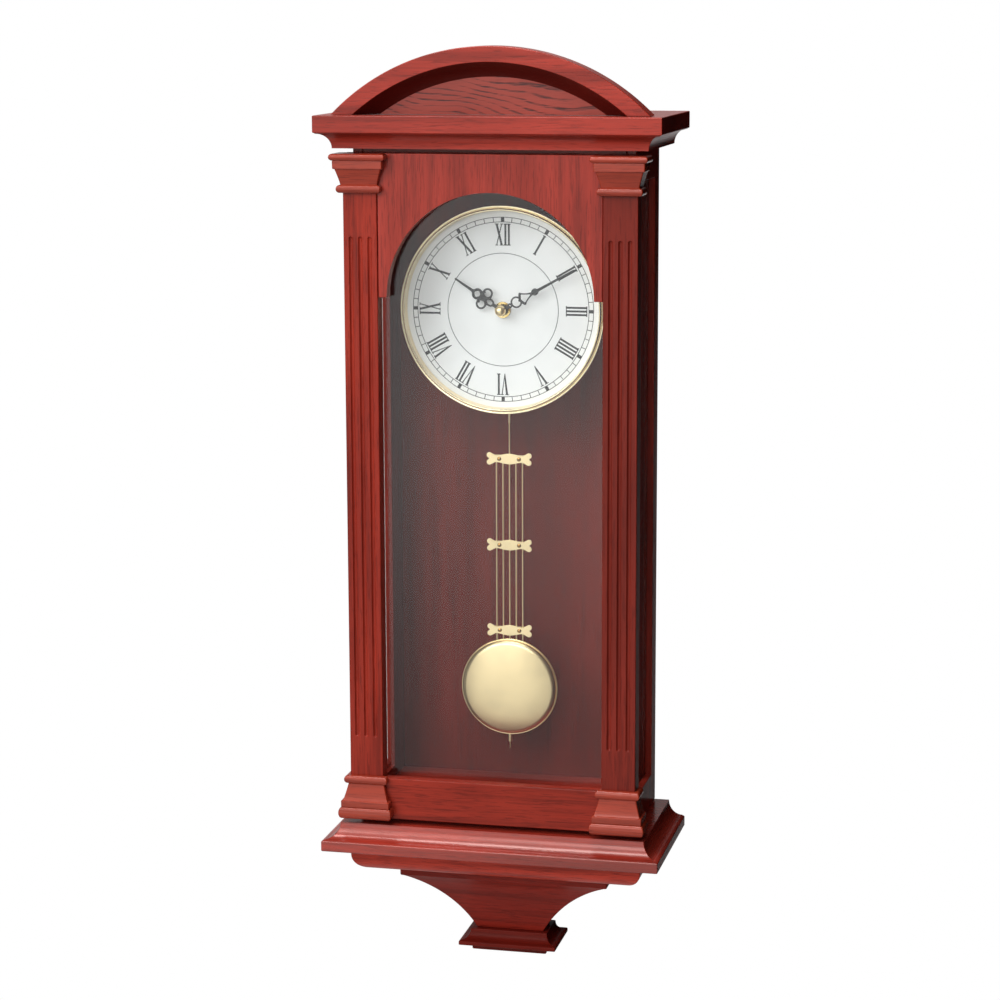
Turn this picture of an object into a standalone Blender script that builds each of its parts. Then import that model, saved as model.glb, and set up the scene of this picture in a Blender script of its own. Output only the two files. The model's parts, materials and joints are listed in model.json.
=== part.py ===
"""Wall clock: arched glazed door, round dial, quartz movement and a hanging pendulum.

Metres, +Z up, +X to the right of someone facing the clock, -Y towards them.
The world origin is the hanger's screw point on the wall plane. Every piece is drawn
from the dial's centre, and the root empty carries the whole clock to its place.
"""
import math

import bmesh
import bpy
from mathutils import Matrix, Vector

# ---------------------------------------------------------------- driving dimensions
GAP = 0.0003                  # clearance between touching pieces
HANGER_HEIGHT = 0.105         # hanger point above the dial's centre
HANGER_HALF = 0.021
HANGER_LOW = HANGER_HEIGHT - 0.0165
HANGER_HIGH = HANGER_HEIGHT + 0.0075
HANGER_SHEET = 0.0015
KEYHOLE_HEAD = 0.0045         # radius that a screw's head passes through
KEYHOLE_SLOT = 0.0021         # half width of the slot for its shank
KEYHOLE_DROP = 0.0105         # the head's hole below the slot's top

# case
CASE_HALF = 0.1149
CASE_FRONT = -0.1020
CASE_TOP = 0.1306
CASE_BOTTOM = -0.4220
SIDE_THICK = 0.0080
BACK_THICK = 0.0060
TOP_BOARD_THICK = 0.0120
FLOOR_TOP = -0.4050
ACCESS_HALF = 0.038           # opening in the back panel for the battery and the knob
ACCESS_LOW = -0.052
ACCESS_HIGH = 0.034

# side windows
WINDOW_FRONT = -0.0840
WINDOW_BACK = -0.0190
WINDOW_LOW = -0.3955
WINDOW_HIGH = 0.1045
WINDOW_REBATE = 0.0040        # how far the pane runs under the frame
SIDE_GLASS_THICK = 0.0020
BEAD_THICK = 0.0036
REAR_BEAD_FRONT = -0.0390     # the rear bead is a wide strip

# mouldings: half widths and front planes
CROWN_HALF = 0.1396
CROWN_FRONT = -0.1320
CROWN_TOP = 0.1571
CROWN_BOTTOM = 0.1434
COVE_HALF = 0.1273
COVE_FRONT = -0.1197
COVE_BOTTOM = 0.1309
LEDGE_HALF = 0.1405
LEDGE_FRONT = -0.1352
LEDGE_TOP = -0.4223
LEDGE_BAND_TOP = -0.4355
LEDGE_BOTTOM = -0.4443
OVOLO_HALF = 0.1220
OVOLO_FRONT = -0.1108
OVOLO_BOTTOM = -0.4680
OVOLO_RUN = 0.0165
CORBEL_HALF = 0.0885
CORBEL_FRONT = -0.0786
CORBEL_FILLET = -0.4778
CORBEL_NECK_HALF = 0.0288
CORBEL_NECK_FRONT = -0.0510
CORBEL_NECK_BACK = -0.0250
CORBEL_BOTTOM = -0.5290
FOOT_HALF = 0.0417
FOOT_FRONT = -0.0650
FOOT_BACK = -0.0110
FOOT_BAND_TOP = -0.5384
FOOT_BAND_BOTTOM = -0.5420
FOOT_BOTTOM = -0.5480
FOOT_PLINTH_INSET = 0.0097    # how far the plinth stands in under the band
FOOT_SHELF = 0.0042           # width of the flat ledge round the corbel's neck

# pediment
ARC_CENTRE = 0.0309
ARC_OUTER = 0.1801
ARC_INNER = 0.1677
ARC_SIGHT = 0.1561            # edge of the tympanum that shows
ARCH_FRONT = -0.1191
ARCH_BACK = -0.0985
TYMPANUM_FRONT = -0.1045
TYMPANUM_BACK = -0.0985

# door
DOOR_HALF = 0.1190
DOOR_FRONT = -0.1184
DOOR_BACK = -0.1024
DOOR_TOP = 0.1272
DOOR_BOTTOM = -0.4180
STILE_WIDTH = 0.0278
PANEL_FRONT = -0.1174
PANEL_BACK = -0.1068
ARCH_RADIUS = 0.08405
ARCH_SPRING = 0.01305
OPENING_BOTTOM = -0.3838
DOOR_REBATE = 0.0052
DOOR_GLASS_THICK = 0.0020
FLUTE_PITCH = 0.0077
FLUTE_RADIUS = 0.0016
FLUTE_TOP = 0.0614
FLUTE_BOTTOM = -0.3492
CAPITAL_BOTTOM = 0.0960
BASE_TOP = -0.3818
WRAP_BACK = -0.1040           # capitals and bases wrap the stile's side as far as this

# hinges
HINGE_X = -0.1208
HINGE_Y = -0.1022
KNUCKLE_RADIUS = 0.0020
HINGE_PIN_RADIUS = 0.0009
HINGE_BORE_RADIUS = 0.0012
HINGE_LENGTH = 0.038
HINGE_CENTRES = {"upper": 0.058, "lower": -0.330}
LEAF_THICK = 0.0008
LEAF_INNER_X = -0.1085

# dial
DIAL_FRONT = -0.0703
DIAL_THICK = 0.0008
DIAL_RADIUS = 0.0806
BEZEL_OUTER = 0.0845
BEZEL_LIP_FRONT = -0.0756     # a lip outside the crest, parted from it by a slope
BEZEL_CREST_RADIUS = 0.0810
BEZEL_FRONT = -0.0782
BEZEL_INNER = 0.0796
BEZEL_BACK = -0.0688
BRACKET_FRONT = -0.0692
BRACKET_SHEET = 0.0015
BRACKET_HALF = 0.0460
BRACKET_HEIGHT = 0.0900

# movement
HOUSING_HALF = 0.0290
HOUSING_TOP = 0.0300
HOUSING_BOTTOM = -0.0450
HOUSING_FRONT = -0.0673
HOUSING_BACK = -0.0522
HOUSING_WALL = 0.0015
BAY_TOP = -0.0255             # top of the battery bay
BATTERY_RADIUS = 0.0070
BATTERY_LENGTH = 0.0505
BATTERY_Y = -0.0585
COVER_BACK = -0.0507
BUSH_RADIUS = 0.0039
BUSH_BORE = 0.0029
BUSH_FRONT = -0.0736
NUT_RADIUS = 0.0068
HOUR_TUBE_RADIUS = 0.0026
HOUR_TUBE_BORE = 0.0017
ARBOR_RADIUS = 0.0014
HOUR_HAND_Y = -0.0752
MINUTE_HAND_Y = -0.0776
HAND_THICK = 0.0004
HOUR_HAND_LENGTH = 0.0458
MINUTE_HAND_LENGTH = 0.0694
HOUR_ANGLE = math.radians(303)     # clockwise from twelve
MINUTE_ANGLE = math.radians(60.8)
CAP_RADIUS = 0.0044

# motion work: the minute wheel's arbor stands to the left of the dial's centre
GEAR_CENTRES = 0.0120
CANNON_TEETH = 12
MINUTE_WHEEL_TEETH = 36
MINUTE_PINION_TEETH = 10
HOUR_WHEEL_TEETH = 40
KNOB_RADIUS = 0.0050

# pendulum
PIVOT_Z = 0.0200
PENDULUM_Y = -0.0480
HOOK_Z = 0.0020
HANGER_ROD_RADIUS = 0.0009
ROD_RADIUS = 0.0006
ROD_PITCH = 0.0055
ROD_COUNT = 5
PLATE_HEIGHTS = (-0.1255, -0.1977, -0.2699)
PLATE_HALF = 0.0189
PLATE_MIDDLE = 0.00445        # half height in the middle
PLATE_NECK = 0.00275          # half height at the necks
PLATE_NECK_X = 0.0115
PLATE_LOBE = 0.0025           # radius of the two lobes at each end
PLATE_LOBE_Z = 0.00275
PLATE_THICK = 0.0010
BOB_Z = -0.3178
BOB_RADIUS = 0.0409
BOB_DOME = 0.0068
BOB_SHEET = 0.0008
NUT_TOP = -0.3592
NUT_HEIGHT = 0.0064
NUT_RIM = 0.0016
NUT_BORE = 0.0011
THREAD_END = -0.3715
THREAD_RADIUS = 0.0005

# ---------------------------------------------------------------- scene and materials
for old in list(bpy.data.objects):
    bpy.data.objects.remove(old, do_unlink=True)

parts = bpy.data.collections.new("wall_clock")
cutters = bpy.data.collections.new("cutters")
for collection in (parts, cutters):
    bpy.context.scene.collection.children.link(collection)


def material(name, colour, roughness, metallic=0.0, alpha=1.0):
    made = bpy.data.materials.new(name)
    made.use_nodes = True
    shader = made.node_tree.nodes["Principled BSDF"]
    shader.inputs["Base Color"].default_value = (*colour, 1.0)
    shader.inputs["Roughness"].default_value = roughness
    shader.inputs["Metallic"].default_value = metallic
    shader.inputs["Alpha"].default_value = alpha
    made.diffuse_color = (*colour, alpha)
    return made


MAHOGANY = material("mahogany", (0.30, 0.035, 0.025), 0.35)
CARVED = material("carved_mahogany", (0.40, 0.06, 0.03), 0.35)
BACK_WOOD = material("back_wood", (0.22, 0.03, 0.02), 0.5)
GLASS = material("glass", (0.9, 0.95, 0.95), 0.05, alpha=0.25)
BRASS = material("brass", (0.80, 0.68, 0.40), 0.25, metallic=1.0)
PALE_BRASS = material("pale_brass", (0.85, 0.75, 0.52), 0.3, metallic=1.0)
STEEL = material("steel", (0.60, 0.60, 0.62), 0.3, metallic=1.0)
DIAL_WHITE = material("dial_white", (0.88, 0.88, 0.86), 0.5)
HAND_BLACK = material("hand_black", (0.03, 0.03, 0.03), 0.4)
BLACK_PLASTIC = material("black_plastic", (0.03, 0.03, 0.03), 0.5)
WHITE_NYLON = material("white_nylon", (0.85, 0.85, 0.82), 0.45)
COPPER = material("copper", (0.75, 0.32, 0.18), 0.35, metallic=1.0)
BOARD_GREEN = material("board_green", (0.02, 0.18, 0.06), 0.5)
MAGNET = material("magnet", (0.06, 0.06, 0.07), 0.4, metallic=0.6)


def empty(name, location, parent=None):
    """An axis or a frame. Its children still measure from the dial's centre."""
    made = bpy.data.objects.new(name, None)
    made.location = location
    made.parent = parent
    parts.objects.link(made)
    return made


ROOT = empty("clock_frame", (0.0, 0.0, -HANGER_HEIGHT))
DOOR_AXIS = empty("door_axis", (HINGE_X, HINGE_Y, 0.0), ROOT)
CENTRE_AXIS = empty("centre_axis", (0.0, DIAL_FRONT, 0.0), ROOT)
MINUTE_WHEEL_AXIS = empty("minute_wheel_axis", (-GEAR_CENTRES, DIAL_FRONT, 0.0), ROOT)
PENDULUM_AXIS = empty("pendulum_axis", (0.0, PENDULUM_Y, PIVOT_Z), ROOT)

# ---------------------------------------------------------------- making pieces
FACING = (math.pi / 2, 0.0, 0.0)     # turns local +Z to the viewer and local +Y up


def add(piece, colour, parent):
    """Put a finished object in the clock, hung from the empty that carries it."""
    piece.parent = parent
    if parent is not ROOT:
        piece.matrix_parent_inverse = Matrix.Translation(-parent.location)
    piece.data.materials.append(colour)
    parts.objects.link(piece)
    return piece


def smooth(mesh, degrees=35.0):
    mesh.shade_smooth()
    mesh.set_sharp_from_angle(angle=math.radians(degrees))


def object_from(bm, name):
    mesh = bpy.data.meshes.new(name)
    bm.to_mesh(mesh)
    bm.free()
    return bpy.data.objects.new(name, mesh)


def block(name, x, y, z):
    """A box between two limits on each axis, from a unit cube."""
    bm = bmesh.new()
    bmesh.ops.create_cube(bm, size=1.0)
    low = Vector((x[0], y[0], z[0]))
    high = Vector((x[1], y[1], z[1]))
    bmesh.ops.scale(bm, vec=high - low, verts=bm.verts)
    bmesh.ops.translate(bm, vec=(high + low) / 2, verts=bm.verts)
    return object_from(bm, name)


def box(name, x, y, z, colour, parent=ROOT, bevel=0.0):
    piece = add(block(name, x, y, z), colour, parent)
    if bevel:
        soften(piece, bevel)
    return piece


def soften(piece, width, segments=2, degrees=40.0):
    bevel = piece.modifiers.new("soft_edges", "BEVEL")
    bevel.width = width
    bevel.segments = segments
    bevel.limit_method = "ANGLE"
    bevel.angle_limit = math.radians(degrees)
    smooth(piece.data)


def cylinder(name, radius, y, centre=(0.0, 0.0), sides=32):
    """A round bar along Y between two planes; centre is its x and z."""
    bm = bmesh.new()
    depth = abs(y[1] - y[0])
    bmesh.ops.create_cone(bm, cap_ends=True, segments=sides, radius1=radius, radius2=radius, depth=depth)
    bmesh.ops.rotate(bm, matrix=Matrix.Rotation(math.pi / 2, 3, "X"), verts=bm.verts)
    bmesh.ops.translate(bm, vec=(centre[0], (y[0] + y[1]) / 2, centre[1]), verts=bm.verts)
    piece = object_from(bm, name)
    smooth(piece.data)
    return piece


def upright(name, radius, z, centre, sides=16):
    """A round bar along Z between two heights; centre is its x and y."""
    bm = bmesh.new()
    depth = abs(z[1] - z[0])
    bmesh.ops.create_cone(bm, cap_ends=True, segments=sides, radius1=radius, radius2=radius, depth=depth)
    bmesh.ops.translate(bm, vec=(centre[0], centre[1], (z[0] + z[1]) / 2), verts=bm.verts)
    piece = object_from(bm, name)
    smooth(piece.data)
    return piece


def tool(piece):
    """Keep an object only as the second operand of Booleans."""
    piece.hide_render = True
    piece.display_type = "WIRE"
    cutters.objects.link(piece)
    piece.parent = ROOT
    return piece


def boolean(piece, other, operation="DIFFERENCE"):
    if other.name not in cutters.objects:
        tool(other)
    change = piece.modifiers.new(operation.lower(), "BOOLEAN")
    change.operation = operation
    change.solver = "EXACT"
    change.object = other


def turned(name, profile, colour, parent=ROOT, centre=(0.0, 0.0), ring=False, steps=48):
    """A piece turned about the Y direction through centre (x, z).

    The profile is a list of (radius, y) from the piece's front, down its outer side,
    to its back; a ring's profile then comes forward again up its bore.
    """
    bm = bmesh.new()
    points = [bm.verts.new((radius, 0.0, -y)) for radius, y in profile]
    for first, second in zip(points, points[1:]):
        bm.edges.new((first, second))
    if ring:
        bm.edges.new((points[-1], points[0]))
    piece = object_from(bm, name)
    piece.rotation_euler = FACING
    piece.location = (centre[0], 0.0, centre[1])
    screw = piece.modifiers.new("turning", "SCREW")
    screw.steps = steps
    screw.render_steps = steps
    screw.use_merge_vertices = True
    screw.merge_threshold = 0.00001
    screw.use_smooth_shade = True
    return add(piece, colour, parent)


def flat_curve(name, outlines, thickness):
    """A 2D curve filled between its outlines; each is a list of (x, y) points."""
    curve = bpy.data.curves.new(name, "CURVE")
    curve.dimensions = "2D"
    curve.fill_mode = "BOTH"
    curve.extrude = thickness / 2
    for outline in outlines:
        spline = curve.splines.new("POLY")
        spline.points.add(len(outline) - 1)
        spline.use_cyclic_u = True
        for point, (x, y) in zip(spline.points, outline):
            point.co = (x, y, 0.0, 1.0)
    return bpy.data.objects.new(name, curve)


def sheet(name, outlines, front, back, colour, parent=ROOT, centre=(0.0, 0.0), turn=0.0):
    """A flat piece that faces the viewer, between two planes, turned clockwise by turn."""
    piece = flat_curve(name, outlines, back - front)
    piece.rotation_euler = (math.pi / 2, turn, 0.0)
    piece.location = (centre[0], (front + back) / 2, centre[1])
    return add(piece, colour, parent)


def sheet_solid(name, outlines, front, back, colour, parent=ROOT, centre=(0.0, 0.0)):
    """The same flat piece as a mesh, for pieces that are cut, joined or softened."""
    flat = flat_curve(name + "_outline", outlines, back - front)
    flat.rotation_euler = FACING
    flat.location = (centre[0], (front + back) / 2, centre[1])
    cutters.objects.link(flat)
    graph = bpy.context.evaluated_depsgraph_get()
    graph.update()
    mesh = bpy.data.meshes.new_from_object(flat.evaluated_get(graph))
    mesh.transform(flat.matrix_world)
    bm = bmesh.new()
    bm.from_mesh(mesh)
    bmesh.ops.remove_doubles(bm, verts=bm.verts, dist=0.00001)
    bm.to_mesh(mesh)
    bm.free()
    mesh.name = name
    mesh.materials.clear()
    bpy.data.objects.remove(flat, do_unlink=True)
    piece = bpy.data.objects.new(name, mesh)
    if colour is None:
        return piece
    return add(piece, colour, parent)


def loft(name, rings, colour, parent=ROOT):
    """A closed solid through rings of equally many points, each anticlockwise from above."""
    bm = bmesh.new()
    rows = [[bm.verts.new(point) for point in ring] for ring in rings]
    bm.faces.new(list(reversed(rows[0])))
    bm.faces.new(rows[-1])
    for lower, upper in zip(rows, rows[1:]):
        for index in range(len(lower)):
            after = (index + 1) % len(lower)
            bm.faces.new((lower[index], lower[after], upper[after], upper[index]))
    piece = object_from(bm, name)
    smooth(piece.data)
    return add(piece, colour, parent)


def moulding(name, levels, colour, back=0.0):
    """A moulding that runs round the front and both sides, mitred at the corners.

    levels is a list of (height, half width, front) from the bottom to the top, or of
    (height, half width, front, back) for one that runs round all four sides.
    """
    rings = []
    for height, half, front, *rear in levels:
        far = rear[0] if rear else back
        rings.append([(-half, front, height), (half, front, height),
                      (half, far, height), (-half, far, height)])
    return loft(name, rings, colour)


def circle(radius, count, centre=(0.0, 0.0), start=0.0, end=2 * math.pi):
    """Points round a circle, anticlockwise; a full circle doesn't repeat its first point."""
    full = abs(end - start - 2 * math.pi) < 1e-9
    steps = count if full else count - 1
    points = []
    for index in range(count):
        angle = start + (end - start) * index / steps
        points.append((centre[0] + radius * math.cos(angle), centre[1] + radius * math.sin(angle)))
    return points


def rectangle(x, y):
    return [(x[0], y[0]), (x[1], y[0]), (x[1], y[1]), (x[0], y[1])]


def grown(span, amount):
    """A span made longer by amount at both ends."""
    return (span[0] - amount, span[1] + amount)


def quarter(count):
    """Angles from 0 to 90 degrees in equal steps."""
    return [math.pi / 2 * index / count for index in range(count + 1)]


# ---------------------------------------------------------------- case
def build_case_boards():
    inner = CASE_HALF - SIDE_THICK - GAP
    back = box("back_panel", (-inner, inner), (-BACK_THICK, 0.0), (CASE_BOTTOM, CASE_TOP), BACK_WOOD)
    access = block("cut_access", (-ACCESS_HALF, ACCESS_HALF), (-0.02, 0.02), (ACCESS_LOW, ACCESS_HIGH))
    boolean(back, access)
    pocket = block("cut_hanger_pocket", (-HANGER_HALF - GAP, HANGER_HALF + GAP),
                   (-HANGER_SHEET - GAP, 0.01), (HANGER_LOW - GAP, HANGER_HIGH + GAP))
    boolean(back, pocket)
    screw_room = block("cut_screw_room", (-0.0065, 0.0065), (-0.0046, 0.005),
                       (HANGER_LOW + 0.0015, HANGER_HIGH - 0.0015))
    boolean(back, screw_room)
    y = (CASE_FRONT, -BACK_THICK - GAP)
    box("case_top_board", (-inner, inner), y, (CASE_TOP - TOP_BOARD_THICK, CASE_TOP), MAHOGANY)
    box("case_floor_board", (-inner, inner), y, (CASE_BOTTOM, FLOOR_TOP), MAHOGANY)


def build_side(side, sign):
    """One glazed side: a frame with a tall window, its pane and the bead that holds it."""
    outer = sign * CASE_HALF
    inner = sign * (CASE_HALF - SIDE_THICK)
    x = (min(outer, inner), max(outer, inner))
    frame = box("side_frame_" + side, x, (CASE_FRONT, 0.0), (CASE_BOTTOM, CASE_TOP), MAHOGANY, bevel=0.0006)
    window = block("cut_window_" + side, (x[0] - 0.01, x[1] + 0.01),
                   (WINDOW_FRONT, WINDOW_BACK), (WINDOW_LOW, WINDOW_HIGH))
    boolean(frame, window)
    pane_front = WINDOW_FRONT - WINDOW_REBATE
    pane_back = WINDOW_BACK + WINDOW_REBATE
    pane_low = WINDOW_LOW - WINDOW_REBATE
    pane_high = WINDOW_HIGH + WINDOW_REBATE
    depth = SIDE_GLASS_THICK + 2 * GAP
    rebate_x = sorted((inner + sign * depth, inner - sign * 0.005))
    rebate = block("cut_rebate_" + side, rebate_x, (pane_front, pane_back), (pane_low, pane_high))
    boolean(frame, rebate)
    pane_x = sorted((inner + sign * GAP, inner + sign * (GAP + SIDE_GLASS_THICK)))
    box("side_glass_" + side, pane_x, (pane_front + GAP, pane_back - GAP),
        (pane_low + GAP, pane_high - GAP), GLASS)
    bead_x = sorted((inner - sign * GAP, inner - sign * (GAP + BEAD_THICK)))
    bead = box("glass_bead_" + side, bead_x, (WINDOW_FRONT - 0.008, -BACK_THICK - 2 * GAP),
               (FLOOR_TOP + GAP, CASE_TOP - TOP_BOARD_THICK - GAP), BACK_WOOD)
    sight = block("cut_bead_" + side, (bead_x[0] - 0.01, bead_x[1] + 0.01),
                  (WINDOW_FRONT, REAR_BEAD_FRONT), (WINDOW_LOW, WINDOW_HIGH))
    boolean(bead, sight)
    return frame


def build_hanger():
    """Steel plate with a keyhole, let into the back; a screw's shank rises to the slot's top."""
    plate = box("hanger_plate", (-HANGER_HALF, HANGER_HALF), (-HANGER_SHEET, 0.0),
                (HANGER_LOW, HANGER_HIGH), STEEL)
    head_at = (0.0, HANGER_HEIGHT - KEYHOLE_DROP)
    head = cylinder("cut_keyhole_head", KEYHOLE_HEAD, (-0.01, 0.01), head_at, 24)
    boolean(plate, head)
    slot = block("cut_keyhole_slot", (-KEYHOLE_SLOT, KEYHOLE_SLOT), (-0.01, 0.01),
                 (HANGER_HEIGHT - KEYHOLE_DROP, HANGER_HEIGHT + KEYHOLE_SLOT))
    boolean(plate, slot)


# ---------------------------------------------------------------- mouldings and pediment
def eased(low, high, ease=0.0008):
    """Heights and insets of a band whose two edges are softened by ease."""
    bend = ease / 4
    return [(low, ease), (low + bend, bend), (low + ease, 0.0),
            (high - ease, 0.0), (high - bend, bend), (high, ease)]


def build_crown():
    levels = []
    for angle in quarter(7):
        out = 1 - math.cos(angle)
        levels.append((COVE_BOTTOM + (CROWN_BOTTOM - 0.0006 - COVE_BOTTOM) * math.sin(angle),
                       COVE_HALF + (CROWN_HALF - 0.0016 - COVE_HALF) * out,
                       COVE_FRONT + (CROWN_FRONT + 0.0016 - COVE_FRONT) * out))
    for height, inset in eased(CROWN_BOTTOM, CROWN_TOP):
        levels.append((height, CROWN_HALF - inset, CROWN_FRONT + inset))
    moulding("crown_cornice", levels, MAHOGANY)


def build_ledge():
    levels = []
    for height, inset in eased(LEDGE_BOTTOM, LEDGE_BAND_TOP):
        levels.append((height, LEDGE_HALF - inset, LEDGE_FRONT + inset))
    for angle in reversed(quarter(7)):
        out = 1 - math.cos(angle)
        levels.append((LEDGE_TOP + (LEDGE_BAND_TOP + 0.0008 - LEDGE_TOP) * math.sin(angle),
                       COVE_HALF + (LEDGE_HALF - 0.0022 - COVE_HALF) * out,
                       -0.1216 + (LEDGE_FRONT + 0.0022 + 0.1216) * out))
    moulding("base_ledge", levels, MAHOGANY)


def build_ovolo():
    rise = 0.0150
    levels = []
    for angle in reversed(quarter(8)):
        inset = OVOLO_RUN * (1 - math.cos(angle))
        height = OVOLO_BOTTOM + rise * (1 - math.sin(angle))
        levels.append((height, OVOLO_HALF - inset, OVOLO_FRONT + inset))
    levels.append((LEDGE_BOTTOM - GAP, OVOLO_HALF, OVOLO_FRONT))
    moulding("ovolo_moulding", levels, MAHOGANY)


def build_corbel():
    """The hanging bracket: a fillet, then a hollow that sweeps in to the neck on all four sides."""
    start = math.radians(22)
    end = math.radians(61)
    top_half = CORBEL_HALF - 0.0030
    top = CORBEL_FILLET - 0.0020
    run = math.sin(end) - math.sin(start)
    drop = math.cos(start) - math.cos(end)
    levels = []
    count = 12
    for index in range(count, -1, -1):
        angle = start + (end - start) * index / count
        inward = (math.sin(angle) - math.sin(start)) / run
        down = (math.cos(start) - math.cos(angle)) / drop
        levels.append((top + (CORBEL_BOTTOM - top) * down,
                       top_half + (CORBEL_NECK_HALF - top_half) * inward,
                       -0.0766 + (CORBEL_NECK_FRONT + 0.0766) * inward,
                       CORBEL_NECK_BACK * inward))
    for height, inset in ((CORBEL_FILLET - 0.0012, 0.0012), (CORBEL_FILLET, 0.0003),
                          (CORBEL_FILLET + 0.0010, 0.0), (OVOLO_BOTTOM - GAP, 0.0)):
        levels.append((height, CORBEL_HALF - inset, CORBEL_FRONT + inset, 0.0))
    moulding("corbel_bracket", levels, MAHOGANY)


def build_foot():
    """The foot: a plinth under a band, a hollow, and a flat ledge round the corbel's neck."""
    top = CORBEL_BOTTOM - GAP
    shelf = FOOT_HALF - CORBEL_NECK_HALF - FOOT_SHELF
    insets = [(FOOT_BOTTOM, FOOT_PLINTH_INSET + 0.0008),
              (FOOT_BOTTOM + 0.0008, FOOT_PLINTH_INSET),
              (FOOT_BAND_BOTTOM, FOOT_PLINTH_INSET),
              (FOOT_BAND_BOTTOM + 0.0001, 0.0006),
              (FOOT_BAND_BOTTOM + 0.0007, 0.0),
              (FOOT_BAND_TOP - 0.0006, 0.0),
              (FOOT_BAND_TOP, 0.0006)]
    for angle in reversed(quarter(6)):
        out = 1 - math.cos(angle)
        insets.append((top - 0.0010 + (FOOT_BAND_TOP + 0.0016 - top) * math.sin(angle),
                       shelf + (0.0022 - shelf) * out))
    insets.append((top - 0.0003, shelf + 0.0002))
    insets.append((top, shelf + 0.0008))
    levels = []
    for height, inset in insets:
        levels.append((height, FOOT_HALF - inset, FOOT_FRONT + inset, FOOT_BACK - inset))
    moulding("foot_block", levels, MAHOGANY)


def build_pediment():
    """The arched board: its section swept round the arc, then cut level on the crown."""
    seat = CROWN_TOP + GAP
    foot = TYMPANUM_FRONT - 0.0002
    section = [(ARC_OUTER - 0.0006, ARCH_FRONT), (ARC_OUTER, ARCH_FRONT + 0.0006),
               (ARC_OUTER, ARCH_BACK), (ARC_SIGHT, ARCH_BACK)]
    for index in range(6):
        share = index / 5
        hollow = 0.0048 * share * (1 - share)
        section.append((ARC_SIGHT + (ARC_INNER - ARC_SIGHT) * share + hollow * 0.77,
                        foot + (ARCH_FRONT + 0.0006 - foot) * share + hollow * 0.64))
    section.append((ARC_INNER + 0.0003, ARCH_FRONT))
    reach = math.radians(56)
    bm = bmesh.new()
    first = [bm.verts.new((r * math.sin(-reach), y, ARC_CENTRE + r * math.cos(reach))) for r, y in section]
    face = bm.faces.new(first)
    bmesh.ops.spin(bm, geom=[face, *face.edges, *face.verts], cent=(0.0, 0.0, ARC_CENTRE),
                   axis=(0.0, 1.0, 0.0), angle=2 * reach, steps=40, use_duplicate=False)
    bmesh.ops.bisect_plane(bm, geom=[*bm.verts, *bm.edges, *bm.faces], plane_co=(0.0, 0.0, seat),
                           plane_no=(0.0, 0.0, -1.0), clear_outer=True)
    bmesh.ops.holes_fill(bm, edges=[edge for edge in bm.edges if edge.is_boundary])
    bmesh.ops.recalc_face_normals(bm, faces=bm.faces)
    piece = object_from(bm, "pediment_arch")
    smooth(piece.data)
    add(piece, MAHOGANY, ROOT)

    radius = ARC_SIGHT - GAP
    half = math.acos((seat - ARC_CENTRE) / radius)
    arc = circle(radius, 29, (0.0, ARC_CENTRE), math.pi / 2 - half, math.pi / 2 + half)
    sheet("tympanum_panel", [arc], TYMPANUM_FRONT, TYMPANUM_BACK, MAHOGANY)


# ---------------------------------------------------------------- door
def build_stile(side, sign):
    """A fluted pilaster with a rebate for the glass behind its inner edge."""
    outer = sign * DOOR_HALF
    inner = sign * (DOOR_HALF - STILE_WIDTH)
    x = sorted((outer, inner))
    stile = box("door_stile_" + side, x, (DOOR_FRONT, DOOR_BACK), (DOOR_BOTTOM, DOOR_TOP),
                MAHOGANY, DOOR_AXIS, bevel=0.0005)
    rebate_x = sorted((inner - sign * 0.005, inner + sign * DOOR_REBATE))
    rebate = block("cut_door_rebate_" + side, rebate_x, (PANEL_BACK, DOOR_BACK + 0.01),
                   (DOOR_BOTTOM - 0.01, DOOR_TOP + 0.01))
    boolean(stile, rebate)
    middle = (outer + inner) / 2
    for index in (-1, 0, 1):
        centre = middle + index * FLUTE_PITCH
        flute = upright("cut_flute_%s_%d" % (side, index + 2), FLUTE_RADIUS,
                        (FLUTE_BOTTOM, FLUTE_TOP), (centre, DOOR_FRONT - 0.0004), 12)
        soften(flute, 0.00155, segments=3, degrees=60)
        boolean(stile, flute)
    return stile


def wrap_outline(sign, spread):
    """The L-shaped plan of a capital or base that stands spread proud of the stile."""
    outer = DOOR_HALF + spread
    inner = DOOR_HALF - STILE_WIDTH - spread
    front = DOOR_FRONT - 0.0012 - spread
    stile_inner = DOOR_HALF - STILE_WIDTH - GAP
    plan = [(inner, front), (outer, front), (outer, WRAP_BACK), (DOOR_HALF + GAP, WRAP_BACK),
            (DOOR_HALF + GAP, DOOR_FRONT - GAP), (stile_inner, DOOR_FRONT - GAP),
            (stile_inner, PANEL_FRONT - GAP), (inner, PANEL_FRONT - GAP)]
    if sign < 0:
        plan = [(-x, y) for x, y in reversed(plan)]
    return plan


def build_wrap(name, sign, levels):
    """A capital or base; levels is a list of (height, spread) from the bottom up."""
    rings = []
    for height, spread in levels:
        rings.append([(x, y, height) for x, y in wrap_outline(sign, spread)])
    return loft(name, rings, CARVED, DOOR_AXIS)


def roll(low, high, spread, bulge, count=6):
    """A half-round bead between two heights, standing bulge proud of spread."""
    levels = []
    for index in range(count + 1):
        angle = math.pi * index / count
        levels.append((low + (high - low) * (1 - math.cos(angle)) / 2, spread + bulge * math.sin(angle)))
    return levels


def capital_levels():
    bell_low = CAPITAL_BOTTOM + 0.0066
    bell_high = CAPITAL_BOTTOM + 0.0188
    levels = roll(CAPITAL_BOTTOM, CAPITAL_BOTTOM + 0.0062, 0.0020, 0.0024)
    for index in range(5):
        part = index / 4
        levels.append((bell_low + (bell_high - bell_low) * part, 0.0014 + 0.0036 * part ** 1.15))
    levels += [(bell_high + 0.0003, 0.0064), (bell_high + 0.0065, 0.0066)]
    levels += roll(bell_high + 0.0068, DOOR_TOP - 0.0001, 0.0064, 0.0026)
    return levels


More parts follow.
